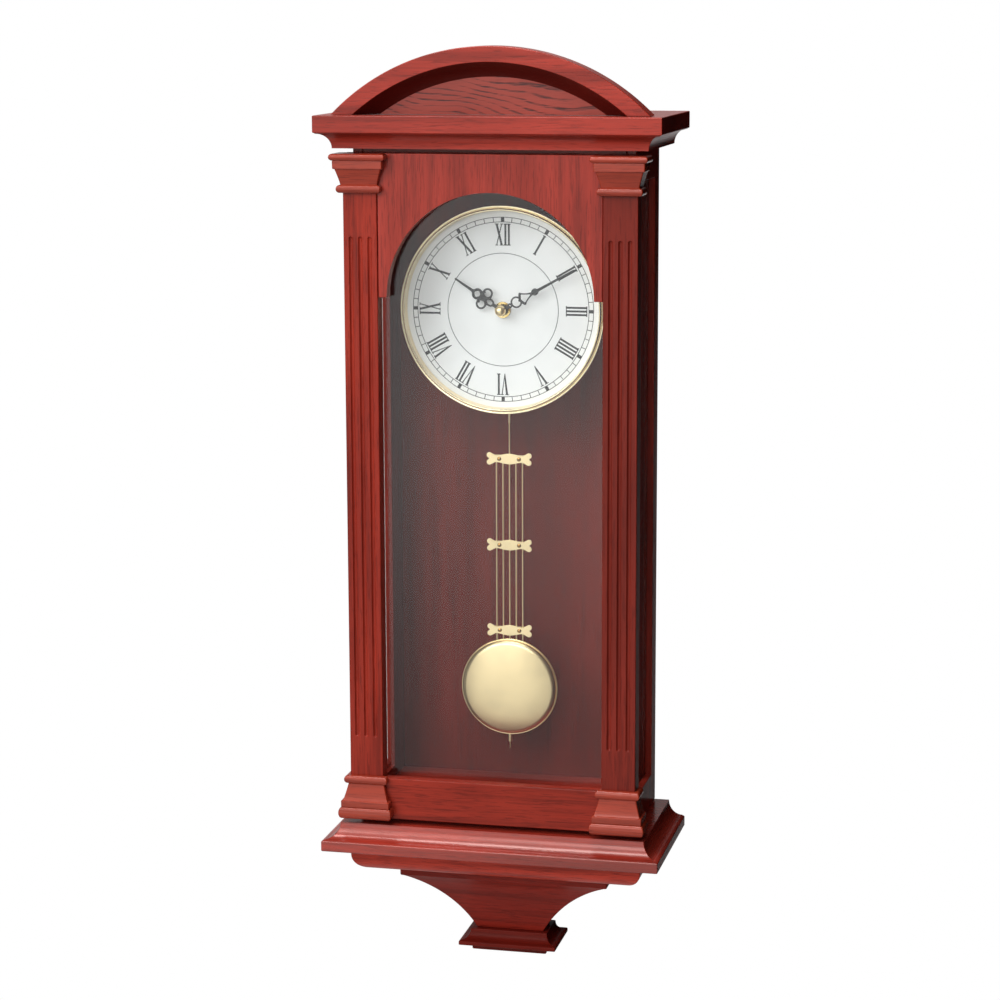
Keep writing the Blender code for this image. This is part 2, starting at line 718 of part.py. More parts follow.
def base_levels():
    levels = roll(DOOR_BOTTOM + 0.0006, DOOR_BOTTOM + 0.0098, 0.0062, 0.0024)
    levels += [(DOOR_BOTTOM + 0.0101, 0.0066), (DOOR_BOTTOM + 0.0154, 0.0064)]
    low = DOOR_BOTTOM + 0.0158
    high = BASE_TOP - 0.0072
    for index in range(5):
        part = index / 4
        levels.append((low + (high - low) * part, 0.0052 - 0.0038 * part ** 0.85))
    levels += roll(BASE_TOP - 0.0066, BASE_TOP, 0.0018, 0.0026)
    return levels


def build_door_panels():
    side = DOOR_HALF - STILE_WIDTH - GAP
    arch = circle(ARCH_RADIUS, 49, (0.0, ARCH_SPRING), 0.0, math.pi)
    outline = [(side, ARCH_SPRING), (side, DOOR_TOP), (-side, DOOR_TOP), (-side, ARCH_SPRING)]
    outline += list(reversed(arch))
    panel = sheet_solid("door_arch_panel", [outline], PANEL_FRONT, PANEL_BACK, MAHOGANY, DOOR_AXIS)
    soften(panel, 0.0005, segments=2, degrees=50)
    box("door_bottom_rail", (-side, side), (PANEL_FRONT, PANEL_BACK), (DOOR_BOTTOM, OPENING_BOTTOM),
        MAHOGANY, DOOR_AXIS, bevel=0.0005)


def build_door_glass():
    half = DOOR_HALF - STILE_WIDTH + DOOR_REBATE - GAP
    low = OPENING_BOTTOM - 0.0060
    high = DOOR_TOP - 0.0060
    front = PANEL_BACK + GAP
    back = front + DOOR_GLASS_THICK
    box("door_glass", (-half, half), (front, back), (low, high), GLASS, DOOR_AXIS)
    bar = 0.0042
    bead = sheet_solid("door_glass_bead", [rectangle((-half, half), (low, high))],
                       back + GAP, DOOR_BACK, MAHOGANY, DOOR_AXIS)
    sight = block("cut_door_bead", (-half + bar, half - bar), (-0.2, 0.0), (low + bar, high - bar))
    boolean(bead, sight)


def build_hinge(place, height, stile, frame):
    """A butt hinge let into the door's back and the case's front edge."""
    low = height - HINGE_LENGTH / 2
    high = height + HINGE_LENGTH / 2
    third = HINGE_LENGTH / 3
    pocket = 0.0011
    reach = (-0.13, LEAF_INNER_X + GAP)
    boolean(stile, block("cut_door_leaf_" + place, reach, (DOOR_BACK - pocket, DOOR_BACK + 0.01),
                         (low - GAP, high + GAP)))
    boolean(frame, block("cut_case_leaf_" + place, reach, (CASE_FRONT - 0.01, CASE_FRONT + pocket),
                         (low - GAP, high + GAP)))
    axis = (HINGE_X, HINGE_Y)

    door_leaf = box("hinge_%s_door_leaf" % place, (HINGE_X, LEAF_INNER_X),
                    (DOOR_BACK - LEAF_THICK, DOOR_BACK), (low, high), BRASS, DOOR_AXIS)
    case_leaf = box("hinge_%s_case_leaf" % place, (HINGE_X, LEAF_INNER_X),
                    (CASE_FRONT, CASE_FRONT + LEAF_THICK), (low, high), BRASS)
    spans = {"middle": (low + third + GAP, high - third - GAP),
             "bottom": (low, low + third), "top": (high - third, high)}
    knuckle = upright("join_%s_middle" % place, KNUCKLE_RADIUS, spans["middle"], axis, 20)
    boolean(door_leaf, knuckle, "UNION")
    for end in ("bottom", "top"):
        knuckle = upright("join_%s_%s" % (place, end), KNUCKLE_RADIUS, spans[end], axis, 20)
        boolean(case_leaf, knuckle, "UNION")
        room = grown(spans[end], GAP)
        boolean(door_leaf, upright("clear_%s_%s" % (place, end), KNUCKLE_RADIUS + GAP, room, axis, 20))
    room = grown(spans["middle"], GAP)
    boolean(case_leaf, upright("clear_%s_middle" % place, KNUCKLE_RADIUS + GAP, room, axis, 20))
    boolean(door_leaf, upright("bore_%s" % place, HINGE_BORE_RADIUS, grown((low, high), 0.01), axis, 16))
    pin = upright("join_pin_%s" % place, HINGE_PIN_RADIUS, grown((low, high), 0.0012), axis, 16)
    boolean(case_leaf, pin, "UNION")


def build_upright_turning(name, profile, centre, colour, parent=ROOT, steps=20):
    """A piece turned about a vertical axis; the profile is (radius, height) from the top down."""
    bm = bmesh.new()
    points = [bm.verts.new((radius, 0.0, height)) for radius, height in profile]
    for first, second in zip(points, points[1:]):
        bm.edges.new((first, second))
    piece = object_from(bm, name)
    piece.location = (centre[0], centre[1], 0.0)
    screw = piece.modifiers.new("turning", "SCREW")
    screw.steps = steps
    screw.render_steps = steps
    screw.use_merge_vertices = True
    screw.merge_threshold = 0.00001
    screw.use_smooth_shade = True
    return add(piece, colour, parent)


def build_catch():
    """A magnet on the case's right side and the plate it pulls on the door."""
    x = (0.0980, CASE_HALF - SIDE_THICK - GAP)
    z = (-0.1700, -0.1500)
    box("catch_magnet", x, (CASE_FRONT + 0.0008, CASE_FRONT + 0.0058), z, MAGNET, bevel=0.0004)
    plate_y = (DOOR_BACK + 0.0002, DOOR_BACK + 0.0009)
    box("catch_plate", (x[0], x[1] - 0.001), plate_y, z, STEEL, DOOR_AXIS)


def build_door(frame_left):
    stiles = {}
    for side, sign in (("left", -1), ("right", 1)):
        stiles[side] = build_stile(side, sign)
        build_wrap("capital_" + side, sign, capital_levels())
        build_wrap("pilaster_base_" + side, sign, base_levels())
    build_door_panels()
    build_door_glass()
    for place, height in HINGE_CENTRES.items():
        build_hinge(place, height, stiles["left"], frame_left)
    build_catch()


# ---------------------------------------------------------------- dial
def build_dial():
    hole = circle(BUSH_RADIUS + GAP, 24)
    sheet("dial_plate", [circle(DIAL_RADIUS, 72), hole], DIAL_FRONT, DIAL_FRONT + DIAL_THICK, DIAL_WHITE)
    lip = DIAL_FRONT - GAP
    crest = BEZEL_CREST_RADIUS
    bezel = [(crest - 0.0004, BEZEL_FRONT), (crest + 0.0004, BEZEL_FRONT + 0.0001),
             (crest + 0.0010, BEZEL_FRONT + 0.0009), (BEZEL_OUTER - 0.0018, BEZEL_LIP_FRONT + 0.0001),
             (BEZEL_OUTER - 0.0010, BEZEL_LIP_FRONT), (BEZEL_OUTER - 0.0003, BEZEL_LIP_FRONT + 0.0003),
             (BEZEL_OUTER, BEZEL_LIP_FRONT + 0.0010), (BEZEL_OUTER, BEZEL_BACK),
             (DIAL_RADIUS + GAP, BEZEL_BACK), (DIAL_RADIUS + GAP, lip), (BEZEL_INNER, lip),
             (BEZEL_INNER + 0.0002, lip - 0.0008), (crest - 0.0009, BEZEL_FRONT + 0.0008)]
    turned("dial_bezel", bezel, BRASS, ring=True, steps=54)
    front = (BRACKET_FRONT, BRACKET_FRONT + BRACKET_SHEET)
    bracket = box("dial_bracket", (-BRACKET_HALF, BRACKET_HALF), front,
                  (-BRACKET_HEIGHT / 2, BRACKET_HEIGHT / 2), STEEL)
    for side, sign in (("left", -1), ("right", 1)):
        leg_x = sorted((sign * BRACKET_HALF, sign * (BRACKET_HALF - BRACKET_SHEET)))
        leg = block("join_leg_" + side, leg_x, (front[0] + 0.0002, -BACK_THICK - GAP), (-0.035, 0.035))
        boolean(bracket, leg, "UNION")
        ear_x = sorted((sign * (BRACKET_HALF - 0.0002), sign * (BRACKET_HALF + 0.012)))
        ear = block("join_ear_" + side, ear_x, (-BACK_THICK - GAP - BRACKET_SHEET, -BACK_THICK - GAP),
                    (-0.030, 0.030))
        boolean(bracket, ear, "UNION")
    boolean(bracket, cylinder("cut_bracket_bush", BUSH_RADIUS + GAP, (-0.08, -0.06), sides=24))


# ---------------------------------------------------------------- movement
def build_housing():
    housing = box("movement_housing", (-HOUSING_HALF, HOUSING_HALF), (HOUSING_FRONT, HOUSING_BACK),
                  (HOUSING_BOTTOM, HOUSING_TOP), BLACK_PLASTIC)
    half = HOUSING_HALF - HOUSING_WALL
    y = (HOUSING_FRONT + HOUSING_WALL, HOUSING_BACK + 0.01)
    train_z = (BAY_TOP + HOUSING_WALL, HOUSING_TOP - HOUSING_WALL)
    boolean(housing, block("cut_train_room", (-half, half), y, train_z))
    boolean(housing, block("cut_battery_bay", (-half, half), y, (HOUSING_BOTTOM + HOUSING_WALL, BAY_TOP)))
    bush = cylinder("join_bush", BUSH_RADIUS, (BUSH_FRONT, HOUSING_FRONT + 0.0005), sides=24)
    boolean(housing, bush, "UNION")
    boolean(housing, cylinder("cut_bush_bore", BUSH_BORE, (-0.08, -0.06), sides=24))

    cover = box("movement_cover", (-HOUSING_HALF, HOUSING_HALF), (HOUSING_BACK + GAP, COVER_BACK),
                (BAY_TOP + 0.0003, HOUSING_TOP), BLACK_PLASTIC)
    boolean(cover, cylinder("cut_knob_hole", 0.0018, (-0.06, -0.04), (-GEAR_CENTRES, 0.0), 20))

    nut = circle(NUT_RADIUS, 6)
    sheet("dial_nut", [nut, circle(BUSH_RADIUS + GAP, 20)], -0.0729, DIAL_FRONT - GAP, BRASS)


def build_electrics():
    bm = bmesh.new()
    bmesh.ops.create_cone(bm, cap_ends=True, segments=24, radius1=BATTERY_RADIUS, radius2=BATTERY_RADIUS,
                          depth=BATTERY_LENGTH - 0.0012)
    bmesh.ops.rotate(bm, matrix=Matrix.Rotation(math.pi / 2, 3, "Y"), verts=bm.verts)
    bay_middle = (BAY_TOP + HOUSING_BOTTOM + HOUSING_WALL) / 2
    bmesh.ops.translate(bm, vec=(-0.0006, BATTERY_Y, bay_middle), verts=bm.verts)
    battery = object_from(bm, "battery")
    smooth(battery.data)
    add(battery, STEEL, ROOT)
    box("circuit_board", (0.0035, 0.0265), (-0.0560, -0.0550), (-0.0225, -0.0060), BOARD_GREEN)
    box("motor_coil", (0.0050, 0.0250), (-0.0640, -0.0590), (-0.0215, -0.0165), COPPER, bevel=0.0010)
    coil = [(0.0052, -0.0575), (0.0052, -0.0530), (0.0022, -0.0530), (0.0022, -0.0575)]
    turned("pendulum_drive_coil", coil, COPPER, centre=(0.0, 0.0215), ring=True, steps=24)


# ---------------------------------------------------------------- hands and motion work
def gear_outline(teeth, module, phase):
    """Straight-sided teeth round a pitch circle; phase turns a tooth's middle to an angle."""
    pitch = teeth * module / 2
    tip = pitch + 0.75 * module
    root = pitch - 1.15 * module
    step = 2 * math.pi / teeth
    points = []
    for index in range(teeth):
        middle = phase + index * step
        for offset, radius in ((-0.29, root), (-0.10, tip), (0.10, tip), (0.29, root)):
            angle = middle + offset * step
            points.append((radius * math.cos(angle), radius * math.sin(angle)))
    return points


def gear(name, teeth, pairing, front, back, phase, colour, parent, centre=(0.0, 0.0)):
    module = 2 * GEAR_CENTRES / (teeth + pairing)
    outline = gear_outline(teeth, module, phase)
    return sheet_solid(name, [outline], front, back, colour, parent, centre)


def build_motion_work():
    """Cannon pinion, minute wheel and hour wheel: the hour hand turns once in twelve."""
    wheel_at = (-GEAR_CENTRES, 0.0)
    # a tooth of each driver lies on the line of centres, and a gap of its partner
    cannon = gear("minute_arbor", CANNON_TEETH, MINUTE_WHEEL_TEETH, -0.0622, -0.0606, math.pi,
                  WHITE_NYLON, CENTRE_AXIS)
    boolean(cannon, cylinder("join_arbor", ARBOR_RADIUS, (-0.0806, -0.0535), sides=20), "UNION")

    half_tooth = math.pi / MINUTE_WHEEL_TEETH
    wheel = gear("minute_wheel", MINUTE_WHEEL_TEETH, CANNON_TEETH, -0.0620, -0.0608, half_tooth,
                 WHITE_NYLON, MINUTE_WHEEL_AXIS, wheel_at)
    pinion = gear("join_minute_pinion", MINUTE_PINION_TEETH, HOUR_WHEEL_TEETH, -0.0650, -0.0615, 0.0,
                  None, None, wheel_at)
    boolean(wheel, pinion, "UNION")
    boolean(wheel, cylinder("join_wheel_arbor", 0.0014, (-0.0655, -0.0462), wheel_at, 20), "UNION")
    knob = [(0.0, -0.0458), (0.0017, -0.0458), (0.0017, -0.0492), (0.0042, -0.0492), (KNOB_RADIUS, -0.0488),
            (KNOB_RADIUS, -0.0440), (0.0042, -0.0436), (0.0, -0.0436)]
    turned("setting_knob", knob, BLACK_PLASTIC, MINUTE_WHEEL_AXIS, wheel_at, steps=24)

    hour_phase = math.pi + math.pi / HOUR_WHEEL_TEETH
    hour = gear("hour_wheel", HOUR_WHEEL_TEETH, MINUTE_PINION_TEETH, -0.0646, -0.0634, hour_phase,
                WHITE_NYLON, CENTRE_AXIS)
    boolean(hour, cylinder("join_hour_tube", HOUR_TUBE_RADIUS, (-0.0762, -0.0640), sides=24), "UNION")
    boolean(hour, cylinder("cut_hour_tube", HOUR_TUBE_BORE, (-0.09, -0.05), sides=24))


def hand_outline(profile):
    """A hand along +Y from half its outline: (distance from the axis, half width)."""
    right = [(width, along) for along, width in profile]
    left = [(-width, along) for along, width in reversed(profile)]
    return right + left


def build_hands():
    hour = hand_outline([(-0.0044, 0.0008), (-0.0036, 0.0026), (-0.0019, 0.0041), (0.0, 0.0046),
                         (0.0019, 0.0041), (0.0036, 0.0026), (0.0048, 0.0012), (0.0080, 0.0012),
                         (0.0104, 0.0029), (0.0124, 0.0028), (0.0136, 0.0064), (0.0152, 0.0086),
                         (0.0172, 0.0092), (0.0192, 0.0086), (0.0207, 0.0064), (0.0222, 0.0045),
                         (0.0248, 0.0042), (0.0270, 0.0026), (0.0292, 0.0007),
                         (HOUR_HAND_LENGTH, 0.0004)])
    openings = [circle(HOUR_TUBE_RADIUS + 0.0002, 20), circle(0.0019, 12, (0.0, 0.0114)),
                circle(0.0023, 12, (0.0, 0.0238))]
    openings += [circle(0.0031, 14, (side * 0.0051, 0.0169)) for side in (-1, 1)]
    sheet("hour_hand", [hour, *openings], HOUR_HAND_Y - HAND_THICK, HOUR_HAND_Y, HAND_BLACK,
          CENTRE_AXIS, turn=HOUR_ANGLE)
    minute = hand_outline([(-0.0036, 0.0007), (-0.0030, 0.0021), (-0.0015, 0.0033), (0.0, 0.0037),
                           (0.0015, 0.0033), (0.0030, 0.0021), (0.0042, 0.0012), (0.0060, 0.0012),
                           (0.0084, 0.0019), (0.0102, 0.0013), (0.0112, 0.0029), (0.0130, 0.0042),
                           (0.0147, 0.0046), (0.0164, 0.0042), (0.0180, 0.0028), (0.0202, 0.0056),
                           (0.0240, 0.0029), (0.0286, 0.0009), (0.0302, 0.0018), (0.0322, 0.0026),
                           (0.0342, 0.0018), (0.0362, 0.0008), (MINUTE_HAND_LENGTH, 0.0004)])
    openings = [circle(ARBOR_RADIUS + 0.0002, 20), circle(0.0036, 14, (0.0, 0.0147)),
                circle(0.0014, 10, (0.0, 0.0222)), circle(0.0008, 8, (0.0, 0.0085))]
    sheet("minute_hand", [minute, *openings], MINUTE_HAND_Y - HAND_THICK, MINUTE_HAND_Y, HAND_BLACK,
          CENTRE_AXIS, turn=MINUTE_ANGLE)
    cap = [(0.0, -0.0838), (0.0016, -0.0835), (0.0030, -0.0826), (0.0040, -0.0812),
           (CAP_RADIUS, -0.0796), (CAP_RADIUS, -0.0785), (CAP_RADIUS - 0.0002, -0.0783),
           (0.0017, -0.0783), (0.0017, -0.0810), (0.0, -0.0810)]
    turned("hand_nut", cap, BRASS, CENTRE_AXIS, steps=24)


# ---------------------------------------------------------------- pendulum
def build_hanger_lever():
    """The driven lever: it rocks on a pin and carries the magnet and the pendulum's hook."""
    lever_y = (-0.0499, -0.0490)
    lever = box("pendulum_lever", (-0.0025, 0.0025), lever_y, (-0.0010, 0.0290), STEEL, PENDULUM_AXIS)
    boolean(lever, cylinder("join_magnet", 0.0042, (lever_y[0], -0.0470), (0.0, 0.0270), 24), "UNION")
    boolean(lever, cylinder("join_hook_pin", 0.0010, (-0.0495, -0.0462), (0.0, HOOK_Z), 16), "UNION")
    boolean(lever, cylinder("cut_lever_bore", 0.0014, (-0.06, -0.04), (0.0, PIVOT_Z), 20))
    post = [(0.0, -0.0504), (0.0011, -0.0504), (0.0011, -0.0485), (0.0022, -0.0485), (0.0022, -0.0468),
            (0.0, -0.0468)]
    turned("pendulum_pivot", post, STEEL, centre=(0.0, PIVOT_Z), steps=20)


def build_hanger_rod():
    span = (-0.0960, HOOK_Z - 0.0016)
    rod = upright("pendulum_hanger_rod", HANGER_ROD_RADIUS, span, (0.0, PENDULUM_Y), 12)
    add(rod, PALE_BRASS, PENDULUM_AXIS)
    y = (PENDULUM_Y - 0.0006, PENDULUM_Y + 0.0006)
    boolean(rod, cylinder("join_eye", 0.0026, y, (0.0, HOOK_Z), 20), "UNION")
    boolean(rod, upright("join_thin_rod", ROD_RADIUS, (-0.1212, -0.0955), (0.0, PENDULUM_Y), 12), "UNION")
    boolean(rod, cylinder("cut_eye", 0.0013, (-0.06, -0.04), (0.0, HOOK_Z), 16))


def bow_outline():
    """The bridge plate: full in the middle, necked, with two round lobes at each end."""
    half = []
    for index in range(7):
        x = PLATE_NECK_X * index / 6
        half.append((x, PLATE_NECK + (PLATE_MIDDLE - PLATE_NECK) * (1 - (x / PLATE_NECK_X) ** 2)))
    lobe_at = (PLATE_HALF - PLATE_LOBE, PLATE_LOBE_Z)
    half += circle(PLATE_LOBE, 8, lobe_at, math.radians(125), math.radians(-50))
    top = half + [(x, -z) for x, z in reversed(half)]
    return top + [(-x, z) for x, z in reversed(top[1:-1])]


def build_grid():
    """Five rods soldered to a flat strap behind each bridge plate."""
    strap_y = (PENDULUM_Y + 0.0002, PENDULUM_Y + 0.0012)
    first = PLATE_HEIGHTS[0]
    grid = box("gridiron_rods", (-0.0150, 0.0150), strap_y, (first - 0.0035, first + 0.0030),
               PALE_BRASS, PENDULUM_AXIS)
    for number, height in enumerate(PLATE_HEIGHTS[1:], start=2):
        strap_z = grown((height, height), 0.0030)
        strap = block("join_strap_%d" % number, (-0.0150, 0.0150), strap_y, strap_z)
        boolean(grid, strap, "UNION")
    for index in range(ROD_COUNT):
        x = (index - (ROD_COUNT - 1) / 2) * ROD_PITCH
        top = first - 0.0005 if index == ROD_COUNT // 2 else first + 0.0030
        bottom = BOB_Z + math.sqrt(BOB_RADIUS ** 2 - x ** 2) - 0.0080
        rod = upright("join_rod_%d" % (index + 1), ROD_RADIUS, (bottom, top), (x, PENDULUM_Y), 12)
        boolean(grid, rod, "UNION")
    thread_top = BOB_Z + BOB_RADIUS - 0.0070
    thread = upright("join_thread", THREAD_RADIUS, (THREAD_END, thread_top), (0.0, PENDULUM_Y), 12)
    boolean(grid, thread, "UNION")


def build_bridges():
    front = PENDULUM_Y - ROD_RADIUS - GAP - PLATE_THICK
    back = PENDULUM_Y - ROD_RADIUS - GAP
    for number, height in enumerate(PLATE_HEIGHTS, start=1):
        sheet("bridge_plate_%d" % number, [bow_outline()], front, back, PALE_BRASS, PENDULUM_AXIS,
              centre=(0.0, height))


def build_bob():
    """A spun disc with a nearly flat face and a round edge, a back plate, and the rods behind."""
    rim = PENDULUM_Y - 0.0028
    profile = []
    for out in (0.0, 0.45, 0.7, 0.82, 0.9, 0.95, 0.98, 1.0):
        profile.append((BOB_RADIUS * out, rim - BOB_DOME * math.sqrt(1 - out ** 6)))
    back_side = [(radius * 0.985, y + BOB_SHEET) for radius, y in reversed(profile)]
    turned("bob_front", profile + back_side, PALE_BRASS, PENDULUM_AXIS, (0.0, BOB_Z), steps=48)
    face = rim + BOB_SHEET + GAP
    rear = face + BOB_SHEET
    back = [(0.0, face), (0.0372, face), (0.0376, (face + rear) / 2), (0.0372, rear), (0.0, rear)]
    turned("bob_back", back, PALE_BRASS, PENDULUM_AXIS, (0.0, BOB_Z), steps=48)
    bottom = NUT_TOP - NUT_HEIGHT
    nut = [(NUT_BORE, NUT_TOP), (NUT_RIM - 0.0002, NUT_TOP), (NUT_RIM, NUT_TOP - 0.0002),
           (NUT_RIM, bottom + 0.0002), (NUT_RIM - 0.0002, bottom), (NUT_BORE, bottom), (NUT_BORE, NUT_TOP)]
    build_upright_turning("rating_nut", nut, (0.0, PENDULUM_Y), BRASS, PENDULUM_AXIS, steps=20)


# ---------------------------------------------------------------- assembly
def build_clock():
    build_case_boards()
    frames = {side: build_side(side, sign) for side, sign in (("left", -1), ("right", 1))}
    build_hanger()
    build_crown()
    build_ledge()
    build_ovolo()
    build_corbel()
    build_foot()
    build_pediment()
    build_door(frames["left"])
    build_dial()
    build_housing()
    build_electrics()
    build_motion_work()
    build_hands()
    build_hanger_lever()
    build_hanger_rod()
    build_grid()
    build_bridges()
    build_bob()


build_clock()
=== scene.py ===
"""Looks of the wall clock: fine mouldings, lacquered mahogany, printed dial, brass and glass.

Metres, +Z up, +X to the right of someone facing the clock, -Y towards them. The origin is the
screw that the clock hangs on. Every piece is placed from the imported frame's own boxes.
"""

import json
import math

import bmesh
import bpy
from mathutils import Matrix, Vector


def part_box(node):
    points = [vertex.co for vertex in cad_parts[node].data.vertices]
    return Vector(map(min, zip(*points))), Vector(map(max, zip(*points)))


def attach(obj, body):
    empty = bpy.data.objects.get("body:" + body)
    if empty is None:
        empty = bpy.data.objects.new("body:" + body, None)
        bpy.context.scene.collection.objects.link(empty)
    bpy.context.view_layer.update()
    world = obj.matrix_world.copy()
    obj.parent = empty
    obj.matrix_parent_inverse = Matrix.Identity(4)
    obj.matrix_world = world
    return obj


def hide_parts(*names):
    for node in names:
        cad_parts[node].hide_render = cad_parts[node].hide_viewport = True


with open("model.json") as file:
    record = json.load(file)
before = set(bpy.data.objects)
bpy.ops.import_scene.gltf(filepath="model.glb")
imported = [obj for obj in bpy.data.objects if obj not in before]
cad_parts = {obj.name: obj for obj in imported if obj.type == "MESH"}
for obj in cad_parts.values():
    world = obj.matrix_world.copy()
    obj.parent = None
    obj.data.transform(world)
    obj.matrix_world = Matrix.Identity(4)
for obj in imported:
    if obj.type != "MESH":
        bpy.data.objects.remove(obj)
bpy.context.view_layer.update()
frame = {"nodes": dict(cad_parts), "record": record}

RECORD = frame["record"]
SLOT_OF = {part["node"]: part["material_slot"] for part in RECORD["subparts"]}
BODY_OF = {node: body for body, group in RECORD["behaviour"]["bodies"].items() for node in group}
SCENE = bpy.context.scene

# ---- driving dimensions
GAP = 0.0003                  # clearance between touching pieces
CORNER = 0.0006               # radius of a moulding's upright corners
EDGE = 0.0009                 # radius of a band's edges

# mouldings, measured inwards from each one's own box
CROWN_BAND = 0.0137           # height of the square-edged board
CROWN_COVE = 0.0123           # how far the cove's foot stands in
LEDGE_BAND = 0.0088
LEDGE_COVE = 0.0134
OVOLO_RISE = 0.0150
OVOLO_RUN = 0.0165
CORBEL_LIP = 0.0095           # height of the fillet above the hollow
CORBEL_NECK = 0.0597          # how far the neck stands in at each side
CORBEL_NECK_FRONT = 0.0276
CORBEL_NECK_BACK = 0.0250
CORBEL_SWEEP = (22, 61)       # degrees of the circle that the hollow follows
FOOT_PLINTH = 0.0060
FOOT_PLINTH_INSET = 0.0097
FOOT_BAND = 0.0036
FOOT_SHELF_INSET = 0.0087     # edge of the flat ledge round the neck

# pediment
ARC_RIM = 0.0124              # width of the flat face round the arch
ARC_COVE = 0.0116             # width of the hollow inside it
ARC_HOLLOW = 0.0048           # four times the hollow's depth
ARC_EDGE = 0.0009

# door
FLUTE_PITCH = 0.0077
FLUTE_RADIUS = 0.0018
FLUTE_LAND = 0.0005           # how far the flute's centre stands proud of the face
FLUTE_TOP = 0.0658            # below the stile's top
FLUTE_BOTTOM = 0.0688         # above the stile's foot
REBATE = 0.0052
STILE_EDGE = 0.0007
WRAP_PROUD = 0.0012           # how far capitals and bases stand before the stile
WRAP_EDGE = 0.0009
ARCH_RADIUS = 0.08405
ARCH_SPRING = 0.01305         # height of the arch's centre above the dial's

# dial print
TRACK_OUTER = 0.0746
TRACK_INNER = 0.0708
NUMERAL_OUTER = 0.0694
NUMERAL_INNER = 0.0519
CHAPTER_LINE = 0.0457
LINE = 0.00048
PRINT_THICK = 0.00008
PRINT_LIFT = 0.00002          # gap between the print and the dial
NUMERALS = ("XII", "I", "II", "III", "IIII", "V", "VI", "VII", "VIII", "IX", "X", "XI")
NUMERAL_HEIGHT = NUMERAL_OUTER - NUMERAL_INNER
LETTER_WIDTH = {"I": 0.00285, "V": 0.0072, "X": 0.0074}
LETTER_GAP = 0.00006
STEM = 0.00155                # width of an I
THICK = STEM * 1.1            # the heavy strokes of V and X
HAIR = 0.00082                # their fine strokes
SERIF = 0.00060
SHAFT_BORE = 0.0042           # hole in the dial and in the nut on it

# hands, from the centre
HOUR_TAIL = 0.0046
HOUR_TIP = 0.0460
MINUTE_TAIL = 0.0037
MINUTE_TIP = 0.0694

# pendulum
ROD_PITCH = 0.0055
ROD_RADIUS = 0.0007
THREAD_RADIUS = 0.0005
THREAD_PITCH = 0.0005
THREAD_LENGTH = 0.022
PLATE_NECK_X = 0.0115
PLATE_NECK = 0.00275          # half height at the necks
PLATE_SWELL = 0.00170         # how much taller each half is in the middle
PLATE_LOBE = 0.0023
PLATE_LOBE_Z = 0.0029
PLATE_SCREW_X = 0.0083
BOB_SHOULDER = 0.0042         # width of the bob's rolled edge
BOB_CROWN = 0.0026            # how far its face stands forward in the middle
NUT_BORE = 0.0011
KNURLS = 18                   # ridges round the rating nut
KNOB_COLUMNS = 60             # columns of points round the setting knob, every second one pressed in

# screws of the back and the hinges
PANEL_SCREW = 0.0030
HANGER_SCREW = 0.0026
LEAF_SCREW = 0.0021
LEAF_SCREW_PITCH = 0.0125

# ---- boxes of the frame
def box_of(node):
    """The low and high corners of a node's box, and its middle."""
    low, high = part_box(node)
    return low, high, (low + high) / 2


def middle_of(node):
    return box_of(node)[2]


DIAL = middle_of("dial_plate")
DIAL_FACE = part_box("dial_plate")[0].y


# ---- shader nodes
class Tree:
    """Adds nodes to a shader tree and links them."""

    def __init__(self, tree):
        self.tree = tree

    def feed(self, socket, value):
        if isinstance(value, bpy.types.NodeSocket):
            self.tree.links.new(value, socket)
        else:
            socket.default_value = value

    def add(self, kind, inputs, **settings):
        node = self.tree.nodes.new("ShaderNode" + kind)
        for key, value in settings.items():
            setattr(node, key, value)
        for key, value in inputs.items():
            self.feed(node.inputs[key], value)
        return node

    def maths(self, operation, first, second=0.0, third=0.0):
        inputs = {0: first, 1: second, 2: third}
        return self.add("Math", inputs, operation=operation).outputs[0]

    def between(self, value, low, high, most=1.0):
        """0 below low, most above high, and smooth between."""
        inputs = {"Value": value, "From Min": low, "From Max": high, "To Max": most}
        return self.add("MapRange", inputs, interpolation_type="SMOOTHSTEP").outputs[0]


class Nodes(Tree):
    """The tree of one new material, with its Principled shader."""

    def __init__(self, name):
        self.material = bpy.data.materials.new(name)
        self.material.use_nodes = True
        super().__init__(self.material.node_tree)
        self.shader = self.tree.nodes["Principled BSDF"]

    def noise(self, place, stretch, detail=3.0, roughness=0.55, distortion=0.0):
        """Noise whose grain has the given cycles per metre along each axis."""
        vector = self.add("VectorMath", {0: place, 1: stretch}, operation="MULTIPLY").outputs[0]
        inputs = {"Vector": vector, "Scale": 1.0, "Detail": detail, "Roughness": roughness,
                  "Distortion": distortion}
        return self.add("TexNoise", inputs).outputs[0]

    def mix(self, factor, first, second):
        return self.add("Mix", {0: factor, 6: first, 7: second}, data_type="RGBA").outputs[2]

    def set(self, **values):
        """Set or link sockets of the Principled shader; _ stands for a space."""
        for key, value in values.items():
            self.feed(self.shader.inputs[key.replace("_", " ")], value)

    def bump(self, height, distance):
        self.set(Normal=self.add("Bump", {"Height": height, "Distance": distance}).outputs[0])


def colour(red, green, blue):
    return (red, green, blue, 1.0)


def stretched(grain, across, along):
    """Cycles per metre on each axis for a grain that runs along one of them."""
    return tuple(along if axis == grain else across for axis in "XYZ")


